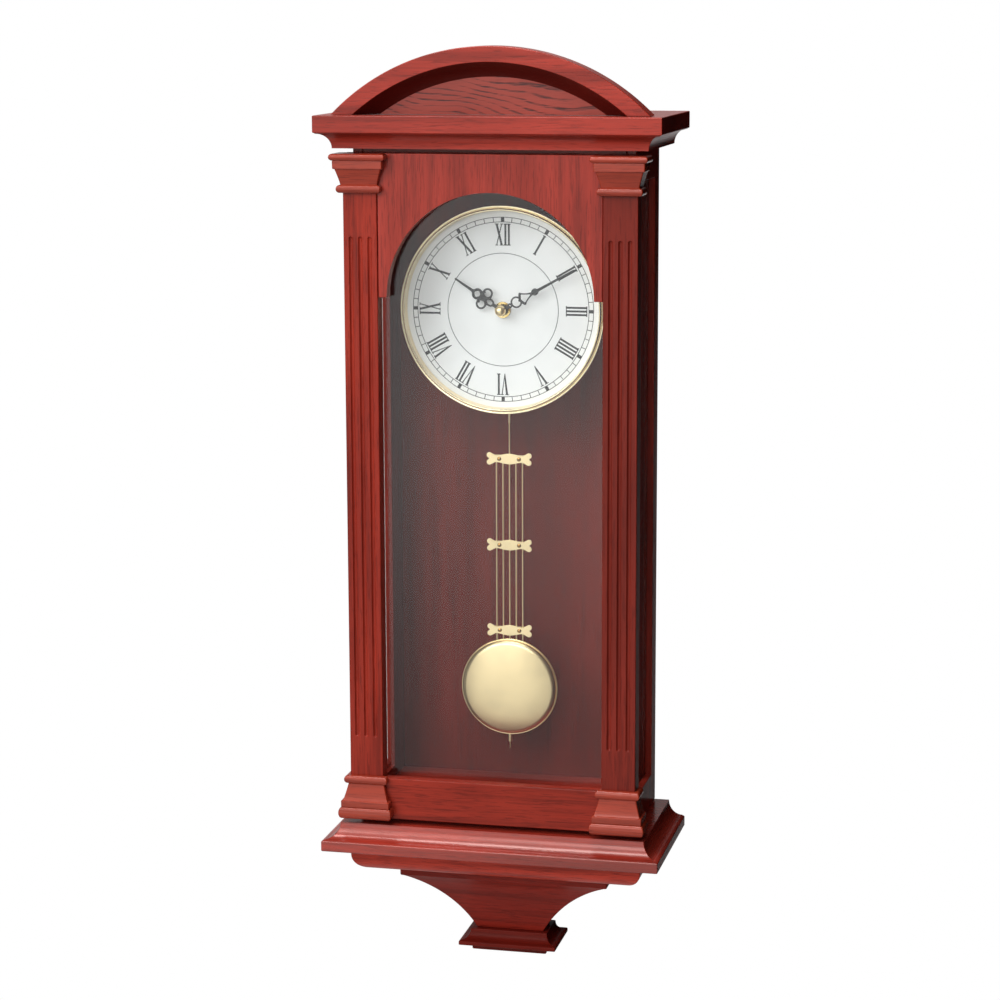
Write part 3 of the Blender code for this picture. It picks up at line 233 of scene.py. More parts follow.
def wood(name, grain, light, body, dark, gloss=0.33, coat=0.18, shine=0.22, relief=0.00004,
         warmth=0.82):
    """Lacquered open-grained wood: clouds, bands, streaks, fine fibres and short dark pores."""
    nodes = Nodes(name)
    place = nodes.add("TexCoord", {}).outputs["Object"]
    clouds = nodes.noise(place, stretched(grain, 26.0, 6.0), 2.0)
    bands = nodes.noise(place, stretched(grain, 120.0, 5.0), 2.0)
    streaks = nodes.noise(place, stretched(grain, 560.0, 20.0), 4.0, 0.6, 0.2)
    fibres = nodes.noise(place, stretched(grain, 2600.0, 70.0), 3.0)
    pores = nodes.noise(place, stretched(grain, 900.0, 62.0), 2.0, 0.5)
    pore = nodes.between(pores, 0.55, 0.66)
    tone = nodes.mix(nodes.between(clouds, 0.30, 0.70), body, light)
    for value, low, high, share in ((bands, 0.45, 0.72, 0.42), (streaks, 0.48, 0.74, 0.36),
                                    (fibres, 0.40, 0.75, 0.18), (pores, 0.55, 0.66, 0.38)):
        amount = nodes.maths("MULTIPLY", nodes.between(value, low, high), share)
        tone = nodes.mix(amount, tone, dark)
    surface = nodes.maths("MULTIPLY_ADD", pore, -1.0, nodes.maths("MULTIPLY", fibres, 0.3))
    nodes.bump(surface, relief)
    nodes.set(Base_Color=tone, Roughness=nodes.maths("MULTIPLY_ADD", streaks, 0.14, gloss - 0.07),
              Specular_IOR_Level=shine, Specular_Tint=colour(1.0, warmth, warmth - 0.05),
              Coat_Weight=coat, Coat_Roughness=0.09)
    return nodes.material


def figured_wood(name, light, body, dark):
    """Flat-sawn figure for the pediment's panel: long wavy rings that slope down to the right."""
    nodes = Nodes(name)
    place = nodes.add("TexCoord", {}).outputs["Object"]
    parts = nodes.add("SeparateXYZ", {0: place})
    height = nodes.maths("MULTIPLY_ADD", parts.outputs["X"], 0.16, parts.outputs["Z"])
    wander = nodes.noise(place, (11.0, 11.0, 20.0), 1.0)
    height = nodes.maths("MULTIPLY_ADD", wander, 0.030, height)
    ripple = nodes.noise(place, (60.0, 60.0, 90.0), 2.0)
    height = nodes.maths("MULTIPLY_ADD", ripple, 0.0022, height)
    rings = nodes.maths("SINE", nodes.maths("MULTIPLY", height, 1250.0))
    broad = nodes.noise(place, (16.0, 16.0, 90.0), 2.0)
    line = nodes.between(nodes.maths("MULTIPLY_ADD", broad, 2.6, rings), 1.75, 2.45)
    fibres = nodes.noise(place, (60.0, 900.0, 1700.0), 3.0)
    pore = nodes.between(fibres, 0.36, 0.58)
    broken = nodes.maths("MULTIPLY", line, pore)
    tone = nodes.mix(nodes.between(wander, 0.3, 0.7), body, light)
    tone = nodes.mix(nodes.maths("MULTIPLY", broken, 0.95), tone, dark)
    tone = nodes.mix(nodes.maths("MULTIPLY", nodes.between(fibres, 0.5, 0.75), 0.34), tone, dark)
    nodes.bump(nodes.maths("MULTIPLY", broken, -1.0), 0.00006)
    nodes.set(Base_Color=tone, Roughness=0.38, Specular_IOR_Level=0.30, Coat_Weight=0.1,
              Coat_Roughness=0.2)
    return nodes.material


def coating(name, tint, deepening, patch, gloss, spread, grain, detail, relief, **more):
    """A surface whose tint drifts in patches and whose gloss changes with a fine grain."""
    nodes = Nodes(name)
    place = nodes.add("TexCoord", {}).outputs["Object"]
    fine = nodes.noise(place, grain, detail)
    drift = nodes.noise(place, (patch, patch, patch), 2.0)
    deeper = tuple(deepening * part for part in tint[:3]) + (1.0,)
    nodes.set(Base_Color=nodes.mix(nodes.between(drift, 0.35, 0.7), tint, deeper),
              Roughness=nodes.maths("MULTIPLY_ADD", fine, spread, gloss - spread / 2), **more)
    if relief:
        nodes.bump(fine, relief)
    return nodes.material


def metal(name, tint, gloss, brushed=0.0, stretch=(400.0, 400.0, 400.0)):
    return coating(name, tint, 0.88, 30.0, gloss, 0.12, stretch, 3.0, brushed, Metallic=1.0)


def plain(name, tint, gloss, grit=0.00002, **more):
    """Paint or moulded plastic."""
    return coating(name, tint, 0.93, 25.0, gloss, 0.10, (900.0, 900.0, 900.0), 2.0, grit, **more)


def pane(name, both_faces):
    """Thin glass: mostly clear, a reflection that grows at the edges of view, and no shadow."""
    nodes = Nodes(name)
    clear = nodes.add("BsdfTransparent", {"Color": colour(0.975, 0.985, 0.98)}).outputs[0]
    gloss = nodes.add("BsdfGlossy", {"Color": colour(1.0, 1.0, 1.0), "Roughness": 0.02}).outputs[0]
    facing = nodes.add("Fresnel", {"IOR": 1.5}).outputs[0]
    share = nodes.maths("MULTIPLY", facing, both_faces)
    shown = nodes.add("MixShader", {0: share, 1: clear, 2: gloss}).outputs[0]
    shadow = nodes.add("LightPath", {}).outputs["Is Shadow Ray"]
    through = nodes.add("BsdfTransparent", {"Color": colour(0.95, 0.96, 0.96)}).outputs[0]
    final = nodes.add("MixShader", {0: shadow, 1: shown, 2: through}).outputs[0]
    nodes.feed(nodes.tree.nodes["Material Output"].inputs["Surface"], final)
    nodes.tree.nodes.remove(nodes.shader)
    return nodes.material


RED_LIGHT = colour(0.40, 0.036, 0.021)
RED = colour(0.275, 0.022, 0.012)
RED_DARK = colour(0.070, 0.006, 0.004)
# painted shade: BROWN_LIGHT and BROWN are a darker copy of the door wood that stands in for the shade on
# the right stile
BROWN_LIGHT = colour(0.22, 0.020, 0.011)
BROWN = colour(0.165, 0.015, 0.008)
ORANGE_LIGHT = colour(0.38, 0.042, 0.018)
ORANGE = colour(0.29, 0.029, 0.011)
ORANGE_DARK = colour(0.11, 0.010, 0.004)


def woods(name, grains, *look):
    """The same wood for each way that its grain can run."""
    return {grain: wood("%s_%s" % (name, grain.lower()), grain, *look) for grain in grains}


MATT = (0.36, 0.10, 0.14)     # gloss, coat and shine of the duller boards
MAHOGANY = woods("mahogany", "XYZ", RED_LIGHT, RED, RED_DARK)
# painted shade: the right stile's board, darker than the left stile's to stand in for the shade that falls
# on it
SHADED_RIGHT_STILE_BOARD = wood("dark_mahogany_z", "Z", BROWN_LIGHT, BROWN, RED_DARK, *MATT)
DOOR_WOOD = woods("door_mahogany", "XZ", colour(0.33, 0.028, 0.014), colour(0.235, 0.018, 0.009),
                  RED_DARK, *MATT)
# painted light: a much brighter copy of the mahogany for the ovolo, standing in for light on its downward
# face
OVOLO_PAINTED_LIGHT_WOOD = woods("ovolo_painted_light_mahogany", "XY", colour(0.66, 0.062, 0.034), colour(0.55, 0.048, 0.026),
                   RED_DARK, *MATT)
LEDGE_WOOD = woods("polished_mahogany", "XY", RED_LIGHT, RED, RED_DARK, 0.27, 0.30, 1.0, 0.000015, 0.58)
# painted shade: near-black mahogany for the faces of the pediment's hollow, standing in for the shade
# inside it
PEDIMENT_HOLLOW_SHADE = wood("hollow_painted_shade_mahogany", "X", colour(0.075, 0.006, 0.004), colour(0.050, 0.004, 0.003), RED_DARK)
CARVED = wood("carved_mahogany_x", "X", ORANGE_LIGHT, ORANGE, ORANGE_DARK, 0.22, 0.18, 0.48, 0.00001, 0.62)
FIGURED = figured_wood("figured_mahogany", colour(0.34, 0.048, 0.030), colour(0.27, 0.034, 0.020),
                       colour(0.035, 0.005, 0.004))
BACK_WOOD = wood("back_board", "Z", colour(0.215, 0.020, 0.012), colour(0.175, 0.016, 0.009),
                 colour(0.075, 0.007, 0.004), 0.50, 0.0, 0.12, 0.000008)
LOW_WOOD = woods("shaded_mahogany", "XY", colour(0.30, 0.023, 0.013), colour(0.225, 0.016, 0.009),
                 RED_DARK, 0.40, 0.04, 0.14)
# painted shade: a darker copy of the mahogany for the foot and its hollow, standing in for the shade at the
# bottom of the case
FOOT_PAINTED_SHADE_WOOD = woods("foot_painted_shade_mahogany", "XY", colour(0.18, 0.013, 0.007), colour(0.13, 0.009, 0.005),
                  RED_DARK, 0.42, 0.02, 0.10)
FINISH = {
    "glass": pane("clear_glass", 0.5),
    "brass": metal("polished_brass", colour(0.86, 0.66, 0.30), 0.20),
    "bezel_brass": metal("bezel_brass", colour(1.0, 0.85, 0.58), 0.25),
    "pale_brass": metal("pale_brass", colour(1.0, 0.80, 0.47), 0.36, 0.000003, (900.0, 900.0, 60.0)),
    "steel": metal("zinc_steel", colour(0.62, 0.62, 0.63), 0.36, 0.000004),
    "dial_white": plain("dial_paint", colour(0.95, 0.95, 0.95), 0.50, 0.000006),
    "hand_black": plain("hand_enamel", colour(0.022, 0.023, 0.025), 0.40, 0.000006),
    "black_plastic": plain("black_plastic", colour(0.022, 0.022, 0.024), 0.48),
    "white_nylon": plain("white_nylon", colour(0.80, 0.80, 0.76), 0.42),
    "battery_jacket": plain("battery_jacket", colour(0.030, 0.032, 0.036), 0.24, Coat_Weight=0.3),
    "copper": metal("copper_wire", colour(0.80, 0.36, 0.20), 0.30, 0.00002, (50.0, 2600.0, 2600.0)),
    "board_green": plain("solder_mask", colour(0.020, 0.17, 0.055), 0.30),
    "magnet": metal("ferrite", colour(0.10, 0.10, 0.11), 0.52),
}
INK = plain("dial_ink", colour(0.028, 0.029, 0.032), 0.55, 0.000004)
DARK_BRASS = metal("screw_brass", colour(0.66, 0.40, 0.15), 0.24)
GRAIN_X = ("case_top_board", "case_floor_board")


def finish_of(node):
    slot = SLOT_OF[node]
    if slot == "back_wood":
        return BACK_WOOD
    if node == "door_bottom_rail":
        return DOOR_WOOD["X"]
    if slot == "mahogany":
        return MAHOGANY["X" if node in GRAIN_X else "Z"]
    return FINISH[slot]


# ---- making pieces
def piece_from(bm, name, materials, sharp=35.0):
    bmesh.ops.recalc_face_normals(bm, faces=bm.faces)
    mesh = bpy.data.meshes.new(name)
    bm.to_mesh(mesh)
    bm.free()
    for material in materials:
        mesh.materials.append(material)
    mesh.shade_smooth()
    mesh.set_sharp_from_angle(angle=math.radians(sharp))
    piece = bpy.data.objects.new(name, mesh)
    SCENE.collection.objects.link(piece)
    even_out(piece)
    return piece


def even_out(piece):
    """Let the wide faces set the shading, so that small rounded edges don't tint them."""
    change = piece.modifiers.new("shading", "WEIGHTED_NORMAL")
    change.keep_sharp = True


BUILT = set()                 # CAD nodes that a finer piece stands for


def stands_for(piece, node, *others):
    """The piece takes a CAD node's body, and is shown in its place."""
    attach(piece, BODY_OF[node])
    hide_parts(node, *others)
    BUILT.add(node)
    return piece


def finish(node, bm, *materials, sharp=35.0):
    """A closed bmesh becomes the piece that stands for a CAD node."""
    return stands_for(piece_from(bm, node + "_finished", materials, sharp), node)


def beside(piece, node):
    """The piece is a detail on a CAD node's body."""
    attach(piece, BODY_OF[node])
    return piece


def sharp_edges(bm):
    bm.normal_update()
    limit = math.radians(30.0)
    return [edge for edge in bm.edges if edge.is_manifold and edge.calc_face_angle(0.0) > limit]


def soften(bm, width, segments=2, edges=None):
    chosen = sharp_edges(bm) if edges is None else edges
    bmesh.ops.bevel(bm, geom=chosen, offset=width, segments=segments, profile=0.5,
                    affect="EDGES", clamp_overlap=True)


def baked(piece):
    """Apply the piece's modifiers."""
    bpy.context.view_layer.update()
    graph = bpy.context.evaluated_depsgraph_get()
    mesh = bpy.data.meshes.new_from_object(piece.evaluated_get(graph))
    piece.modifiers.clear()
    piece.data = mesh
    even_out(piece)
    return piece


def block(low, high):
    bm = bmesh.new()
    bmesh.ops.create_cube(bm, size=1.0)
    low = Vector(low)
    high = Vector(high)
    bmesh.ops.scale(bm, vec=high - low, verts=bm.verts)
    bmesh.ops.translate(bm, vec=(high + low) / 2, verts=bm.verts)
    return bm


def cut(piece, tools):
    """Take closed bmesh tools out of a piece."""
    made = []
    for index, bm in enumerate(tools):
        tool = piece_from(bm, "%s_tool_%d" % (piece.name, index), [])
        change = piece.modifiers.new("cut", "BOOLEAN")
        change.object = tool
        change.solver = "EXACT"
        made.append(tool)
    baked(piece)
    for tool in made:
        bpy.data.objects.remove(tool, do_unlink=True)
    return piece


def loft(rings, stripe=None):
    """A closed solid through rings of equally many points, each anticlockwise from above."""
    bm = bmesh.new()
    rows = [[bm.verts.new(point) for point in ring] for ring in rings]
    bm.faces.new(list(reversed(rows[0])))
    bm.faces.new(rows[-1])
    count = len(rows[0])
    for lower, upper in zip(rows, rows[1:]):
        for index in range(count):
            after = (index + 1) % count
            face = bm.faces.new((lower[index], lower[after], upper[after], upper[index]))
            if stripe:
                face.material_index = stripe[index]
    return bm


def arc(radius, first, last, steps, centre=(0.0, 0.0)):
    """Points on an arc between two angles in degrees."""
    points = []
    for index in range(steps + 1):
        angle = math.radians(first + (last - first) * index / steps)
        points.append((centre[0] + radius * math.cos(angle), centre[1] + radius * math.sin(angle)))
    return points


def circle(radius, steps):
    return arc(radius, 0.0, 360.0, steps)[:-1]


def quarter(steps):
    """Angles from 0 to 90 degrees."""
    return [math.pi / 2 * index / steps for index in range(steps + 1)]


def domed(radius, tip, rise, steps):
    """(radius, place) over a domed head, from its tip out to its rim."""
    return [(radius * math.sin(angle), tip + rise * (1 - math.cos(angle))) for angle in quarter(steps)]


def mirrored(points):
    """The same points across the middle line, in the order that goes on round the outline."""
    return [(-x, z) for x, z in reversed(points)]


def turned(profile, steps, centre, axis="Y", ring=False):
    """A solid turned about an axis through centre; the profile is (radius, place on the axis)."""
    bm = bmesh.new()
    columns = []
    for index in range(steps):
        angle = 2 * math.pi * index / steps
        columns.append([turned_point(radius, along, angle, centre, axis) for radius, along in profile])
    rows = []
    for number, (radius, along) in enumerate(profile):
        if radius < 1e-7:
            rows.append([bm.verts.new(columns[0][number])])
        else:
            rows.append([bm.verts.new(column[number]) for column in columns])
    pairs = list(zip(rows, rows[1:]))
    if ring:
        pairs.append((rows[-1], rows[0]))
    for first, second in pairs:
        for index in range(steps):
            after = (index + 1) % steps
            corners = [first[index % len(first)], first[after % len(first)],
                       second[after % len(second)], second[index % len(second)]]
            unique = list(dict.fromkeys(corners))
            if len(unique) > 2:
                bm.faces.new(unique)
    return bm


def turned_point(radius, along, angle, centre, axis):
    a = radius * math.cos(angle)
    b = radius * math.sin(angle)
    if axis == "Y":
        return (centre[0] + a, along, centre[2] + b)
    if axis == "Z":
        return (centre[0] + a, centre[1] + b, along)
    return (along, centre[1] + a, centre[2] + b)


def rounded(profile, radius, steps=3):
    """The profile with each inner corner turned into a small curve."""
    points = [profile[0]]
    for before, here, after in zip(profile, profile[1:], profile[2:]):
        corner = Vector(here)
        back = Vector(before) - corner
        on = Vector(after) - corner
        reach = min(radius, back.length * 0.45, on.length * 0.45)
        start = corner + back.normalized() * reach
        end = corner + on.normalized() * reach
        for index in range(steps + 1):
            t = index / steps
            point = start * (1 - t) ** 2 + corner * 2 * t * (1 - t) + end * t ** 2
            points.append((point.x, point.y))
    points.append(profile[-1])
    return points


def plate(outline, front, back, soft=0.0):
    """A flat solid that faces the viewer; the outline is (x, z) points, and its rims are softened."""
    bm = bmesh.new()
    near = [bm.verts.new((x, front, z)) for x, z in outline]
    far = [bm.verts.new((x, back, z)) for x, z in outline]
    face = bm.faces.new(near)
    bm.faces.new(list(reversed(far)))
    count = len(near)
    for index in range(count):
        after = (index + 1) % count
        bm.faces.new((near[after], near[index], far[index], far[after]))
    if soft:
        soften(bm, soft, 3, list(face.edges))
    return bm


def joined(meshes):
    """One bmesh of several separate closed bodies."""
    whole = bmesh.new()
    for bm in meshes:
        mesh = bpy.data.meshes.new("part")
        bmesh.ops.recalc_face_normals(bm, faces=bm.faces)
        bm.to_mesh(mesh)
        bm.free()
        whole.from_mesh(mesh)
        bpy.data.meshes.remove(mesh)
    return whole


def sheet_metal(name, outlines, front, back, centre, turn, material, edge=0.00006):
    """A flat stamped piece with holes, turned clockwise by turn about centre."""
    curve = bpy.data.curves.new(name, "CURVE")
    curve.dimensions = "2D"
    curve.fill_mode = "BOTH"
    curve.extrude = (back - front) / 2 - edge
    curve.bevel_depth = edge
    curve.bevel_resolution = 1
    curve.offset = -edge
    for outline in outlines:
        spline = curve.splines.new("POLY")
        spline.points.add(len(outline) - 1)
        spline.use_cyclic_u = True
        for point, (x, y) in zip(spline.points, outline):
            point.co = (x, y, 0.0, 1.0)
    flat = bpy.data.objects.new(name + "_flat", curve)
    flat.rotation_euler = (math.pi / 2, turn, 0.0)
    flat.location = (centre[0], (front + back) / 2, centre[2])
    SCENE.collection.objects.link(flat)
    bpy.context.view_layer.update()
    graph = bpy.context.evaluated_depsgraph_get()
    mesh = bpy.data.meshes.new_from_object(flat.evaluated_get(graph))
    mesh.transform(flat.matrix_world)
    bm = bmesh.new()
    bm.from_mesh(mesh)
    bmesh.ops.remove_doubles(bm, verts=bm.verts, dist=0.000004)
    for face in bm.faces:
        face.material_index = 0
    bpy.data.objects.remove(flat, do_unlink=True)
    return piece_from(bm, name, [material], 40.0)


def refined(node):
    """A copy of a CAD node with its flat faces merged and its sharp edges rounded."""
    bm = bmesh.new()
    bm.from_mesh(frame["nodes"][node].data)
    bmesh.ops.remove_doubles(bm, verts=bm.verts, dist=0.00001)
    bmesh.ops.dissolve_limit(bm, angle_limit=math.radians(0.5), verts=bm.verts, edges=bm.edges)
    soften(bm, 0.0003)
    for face in bm.faces:
        face.material_index = 0
    return finish(node, bm, finish_of(node))


# ---- mouldings
def plan(half, front, height, back, free):
    """A moulding's plan at one height: square at the wall, or rounded behind too where it is free."""
    x = half - CORNER
    corners = [(-x, front + CORNER, 180.0), (x, front + CORNER, 270.0)]
    if free:
        corners += [(x, back - CORNER, 0.0), (-x, back - CORNER, 90.0)]
    points = []
    for across, along, first in corners:
        points += [(*point, height) for point in arc(CORNER, first, first + 90.0, 4, (across, along))]
    if free:
        return points
    return [(-half, back, height), *points, (half, back, height)]


def stripe_of(points):
    """0 for the sides of a plan that run along X, 1 for those that run along Y."""
    return [0 if abs(after[0] - here[0]) > abs(after[1] - here[1]) else 1
            for here, after in zip(points, points[1:] + points[:1])]


def moulding(node, levels, back=0.0, free=False, boards=MAHOGANY):
    """levels is a list of (height, side inset, front inset, back inset) from the bottom up."""
    low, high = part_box(node)
    half = (high.x - low.x) / 2
    rings = [plan(half - side, low.y + depth, height, back - rear, free)
             for height, side, depth, rear in levels]
    return finish(node, loft(rings, stripe_of(rings[0])), boards["X"], boards["Y"], sharp=30.0)


def band(low, high, radius=EDGE):
    """(height, inset) up a flat band whose two edges are rounded."""
    levels = [(low + radius * (1 - math.cos(angle)), radius * (1 - math.sin(angle)))
              for angle in quarter(5)]
    return levels + [(high - (height - low), inset) for height, inset in reversed(levels)]


def cove(low, high, narrow, wide, rising=True):
    """(height, inset) up a hollow; it spreads towards the top when rising, else towards its foot."""
    levels = [(math.sin(angle), narrow + (wide - narrow) * (1 - math.cos(angle)))
              for angle in quarter(20)]
    if rising:
        return [(low + (high - low) * up, inset) for up, inset in levels]
    return [(high - (high - low) * up, inset) for up, inset in reversed(levels)]


def even(levels, rear=0.0):
    """The same inset at the sides and at the front, and rear times as much behind."""
    return [(height, inset, inset, inset * rear) for height, inset in levels]


def build_crown():
    low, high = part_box("crown_cornice")
    seam = high.z - CROWN_BAND
    levels = cove(low.z, seam - 0.0007, CROWN_COVE, 0.0019)
    levels += [(seam - 0.0004, 0.0015), (seam - 0.0002, 0.0012)]
    levels += band(seam, high.z)
    moulding("crown_cornice", even(levels))


def build_ledge():
    low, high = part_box("base_ledge")
    seam = low.z + LEDGE_BAND
    levels = band(low.z, seam) + cove(seam + 0.0007, high.z, LEDGE_COVE, 0.0021, rising=False)
    moulding("base_ledge", even(levels), boards=LEDGE_WOOD)


def build_ovolo():
    low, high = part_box("ovolo_moulding")
    levels = [(low.z + OVOLO_RISE * (1 - math.sin(angle)), OVOLO_RUN * (1 - math.cos(angle)))
              for angle in reversed(quarter(18))]
    # painted light: the ovolo takes the brightened copy of the mahogany
    moulding("ovolo_moulding", even(levels + [(high.z, 0.0)]), boards=OVOLO_PAINTED_LIGHT_WOOD)


def build_corbel():
    """A fillet, then a hollow that sweeps in to the neck on all four sides."""
    low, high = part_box("corbel_bracket")
    lip = high.z - CORBEL_LIP
    top = lip - 0.0020
    start, end = (math.radians(angle) for angle in CORBEL_SWEEP)
    levels = []
    steps = 32
    for index in range(steps, -1, -1):
        angle = start + (end - start) * index / steps
        inward = (math.sin(angle) - math.sin(start)) / (math.sin(end) - math.sin(start))
        down = (math.cos(start) - math.cos(angle)) / (math.cos(start) - math.cos(end))
        levels.append((top + (low.z - top) * down, 0.0030 + (CORBEL_NECK - 0.0030) * inward,
                       0.0020 + (CORBEL_NECK_FRONT - 0.0020) * inward, CORBEL_NECK_BACK * inward))
    levels += even(band(lip - 0.0016, high.z, 0.0016)[:6])
    levels.append((high.z, 0.0, 0.0, 0.0))
    moulding("corbel_bracket", levels, high.y, True, LOW_WOOD)


def build_foot():
    """A plinth under a band, a hollow, and a flat ledge round the neck."""
    low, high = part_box("foot_block")
    seam = low.z + FOOT_PLINTH
    band_top = seam + FOOT_BAND
    levels = [(low.z, FOOT_PLINTH_INSET + 0.0009), (low.z + 0.0003, FOOT_PLINTH_INSET + 0.0003),
              (low.z + 0.0009, FOOT_PLINTH_INSET), (seam - 0.0001, FOOT_PLINTH_INSET)]
    levels += band(seam, band_top, 0.0008)
    levels += cove(band_top + 0.0006, high.z - 0.0010, FOOT_SHELF_INSET, 0.0022, rising=False)
    levels += [(high.z - 0.0005, FOOT_SHELF_INSET + 0.0001), (high.z - 0.0002, FOOT_SHELF_INSET + 0.0003),
               (high.z, FOOT_SHELF_INSET + 0.0009)]
    # painted shade: the foot takes the darker copy of the mahogany
    moulding("foot_block", even(levels, 1.0), high.y, True, FOOT_PAINTED_SHADE_WOOD)


def arch_circle():
    """The height of the pediment's centre, and its outer radius."""
    low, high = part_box("pediment_arch")
    half = (high.x - low.x) / 2
    rise = high.z - low.z
    outer = (half ** 2 + rise ** 2) / (2 * rise)
    return high.z - outer, outer


def arch_section(inner, sight, face, foot, back):
    """(radius, y) round the arch's section: a flat face, and a hollow inside it."""
    outer = inner + ARC_RIM
    section = [(outer - ARC_EDGE, face), (outer - 0.0005, face + 0.0001), (outer - 0.0001, face + 0.0005),
               (outer, face + ARC_EDGE), (outer, back), (sight, back)]
    for index in range(15):
        share = index / 14
        hollow = ARC_HOLLOW * share * (1 - share)
        section.append((sight + ARC_COVE * share + hollow * 0.77,
                        foot + (face + 0.0006 - foot) * share + hollow * 0.64))
    return section + [(inner + 0.0001, face + 0.0002), (inner + 0.0005, face)]


def build_pediment():
    low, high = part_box("pediment_arch")
    centre, outer = arch_circle()
    inner = outer - ARC_RIM
    sight = inner - ARC_COVE
    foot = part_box("tympanum_panel")[0].y - 0.0002
    reach = math.acos((low.z - centre) / outer) + 0.06
    bm = bmesh.new()
    first = [bm.verts.new((radius * math.sin(-reach), y, centre + radius * math.cos(reach)))
             for radius, y in arch_section(inner, sight, low.y, foot, high.y)]
    start = bm.faces.new(first)
    bmesh.ops.spin(bm, geom=[start, *start.edges, *start.verts], cent=(0.0, 0.0, centre),
                   axis=(0.0, 1.0, 0.0), angle=2 * reach, steps=110, use_duplicate=False)
    bmesh.ops.bisect_plane(bm, geom=[*bm.verts, *bm.edges, *bm.faces], plane_co=(0.0, 0.0, low.z),
                           plane_no=(0.0, 0.0, -1.0), clear_outer=True)
    bmesh.ops.holes_fill(bm, edges=[edge for edge in bm.edges if edge.is_boundary])
    # painted shade: the hollow's faces take the near-black second material
    for face in bm.faces:
        spot = face.calc_center_median()
        radius = math.hypot(spot.x, spot.z - centre)
        if sight - 0.0002 < radius < inner + 0.0001 and low.y + 0.0003 < spot.y < foot:
            face.material_index = 1
    finish("pediment_arch", bm, MAHOGANY["X"], PEDIMENT_HOLLOW_SHADE, sharp=30.0)


def build_tympanum():
    """The flat panel inside the arch, which reaches just under the hollow's edge."""
    low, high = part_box("tympanum_panel")
    centre, outer = arch_circle()
    radius = outer - ARC_RIM - ARC_COVE + GAP
    turn = math.degrees(math.acos((low.z - centre) / radius))
    outline = arc(radius, 90.0 - turn, 90.0 + turn, 64, (0.0, centre))
    finish("tympanum_panel", plate(outline, low.y, high.y), FIGURED)


# ---- door
def flute_depth(across, height, centres, bottom, top):
    """How deep the fluted face lies at one place, with a soft rim."""
    depth = 0.0
    for centre in centres:
        end = min(max(height, bottom + FLUTE_RADIUS), top - FLUTE_RADIUS)
        away = math.hypot(across - centre, height - end)
        if away < FLUTE_RADIUS:
            sunk = math.sqrt(FLUTE_RADIUS ** 2 - away ** 2) - FLUTE_LAND
        else:
            sunk = -FLUTE_LAND - 2 * (away - FLUTE_RADIUS)
        depth += (sunk + math.sqrt(sunk ** 2 + 0.00010 ** 2)) / 2
    return depth


def stile_rows(low, high, bottom, top):
    """Heights of the stile's sections, close together where the flutes end."""
    offsets = (-0.0010, -0.0004, -0.0001, 0.0001, 0.0003, 0.0006, 0.0010, 0.0014, 0.0018, 0.0026)
    rows = [low, *(bottom + offset for offset in offsets)]
    rows += [top - offset for offset in reversed(offsets)]
    return rows + [high]


def hinge_pockets(stile_low, stile_high):
    """Room for the door leaves, cut in from the stile's outer edge and back."""
    grow = Vector((GAP, GAP, GAP))
    pockets = []
    for place in ("upper", "lower"):
        low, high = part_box("hinge_%s_door_leaf" % place)
        pockets.append(block(Vector((stile_low.x - 0.01, low.y, low.z)) - grow,
                             Vector((high.x, stile_high.y + 0.01, high.z)) + grow))
    return pockets


def build_stile(node, sign):
    low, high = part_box(node)
    width = high.x - low.x
    inner = abs(low.x if sign > 0 else high.x)
    front = low.y
    panel_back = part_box("door_arch_panel")[1].y
    bottom = low.z + FLUTE_BOTTOM
    top = high.z - FLUTE_TOP
    centres = [width / 2 + index * FLUTE_PITCH for index in (-1, 0, 1)]
    marks = [centre + 0.00205 * math.sin(math.pi / 2 * index / 9) for centre in centres
             for index in range(-9, 10)]
    rings = []
    for height in stile_rows(low.z, high.z, bottom, top):
        ring = [(REBATE, high.y), (REBATE, panel_back), (0.0, panel_back)]
        ring += arc(STILE_EDGE, 180.0, 270.0, 4, (STILE_EDGE, front + STILE_EDGE))
        ring += [(u, front + flute_depth(u, height, centres, bottom, top)) for u in marks]
        ring += arc(STILE_EDGE, 270.0, 360.0, 4, (width - STILE_EDGE, front + STILE_EDGE))
        ring.append((width, high.y))
        points = [(sign * (inner + u), y, height) for u, y in ring]
        rings.append(points if sign > 0 else list(reversed(points)))
    # painted shade: the right stile takes the darker board, the left one the plain door wood
    board = SHADED_RIGHT_STILE_BOARD if sign > 0 else DOOR_WOOD["Z"]
    piece = piece_from(loft(rings), node + "_finished", [board], 40.0)
    if sign < 0:
        cut(piece, hinge_pockets(low, high))
    stands_for(piece, node)


def wrap_plan(sign, spread, height, half, inner_edge, front, back, panel):
    """The L-shaped plan of a capital or base that stands spread proud of the stile."""
    outer = half + spread
    inner = inner_edge - spread
    face = front - WRAP_PROUD - spread
    outline = [(inner, panel - GAP)]
    outline += arc(WRAP_EDGE, 180.0, 270.0, 4, (inner + WRAP_EDGE, face + WRAP_EDGE))
    outline += arc(WRAP_EDGE, 270.0, 360.0, 4, (outer - WRAP_EDGE, face + WRAP_EDGE))
    outline += [(outer, back), (half + GAP, back), (half + GAP, front - GAP),
                (inner_edge - GAP, front - GAP), (inner_edge - GAP, panel - GAP)]
    points = [(sign * x, y, height) for x, y in outline]
    return points if sign > 0 else list(reversed(points))


def roll(low, high, spread, bulge):
    """(height, spread) up a half-round bead."""
    return [(low + (high - low) * (1 - math.cos(angle)) / 2, spread + bulge * math.sin(angle))
            for angle in [math.pi * index / 14 for index in range(15)]]


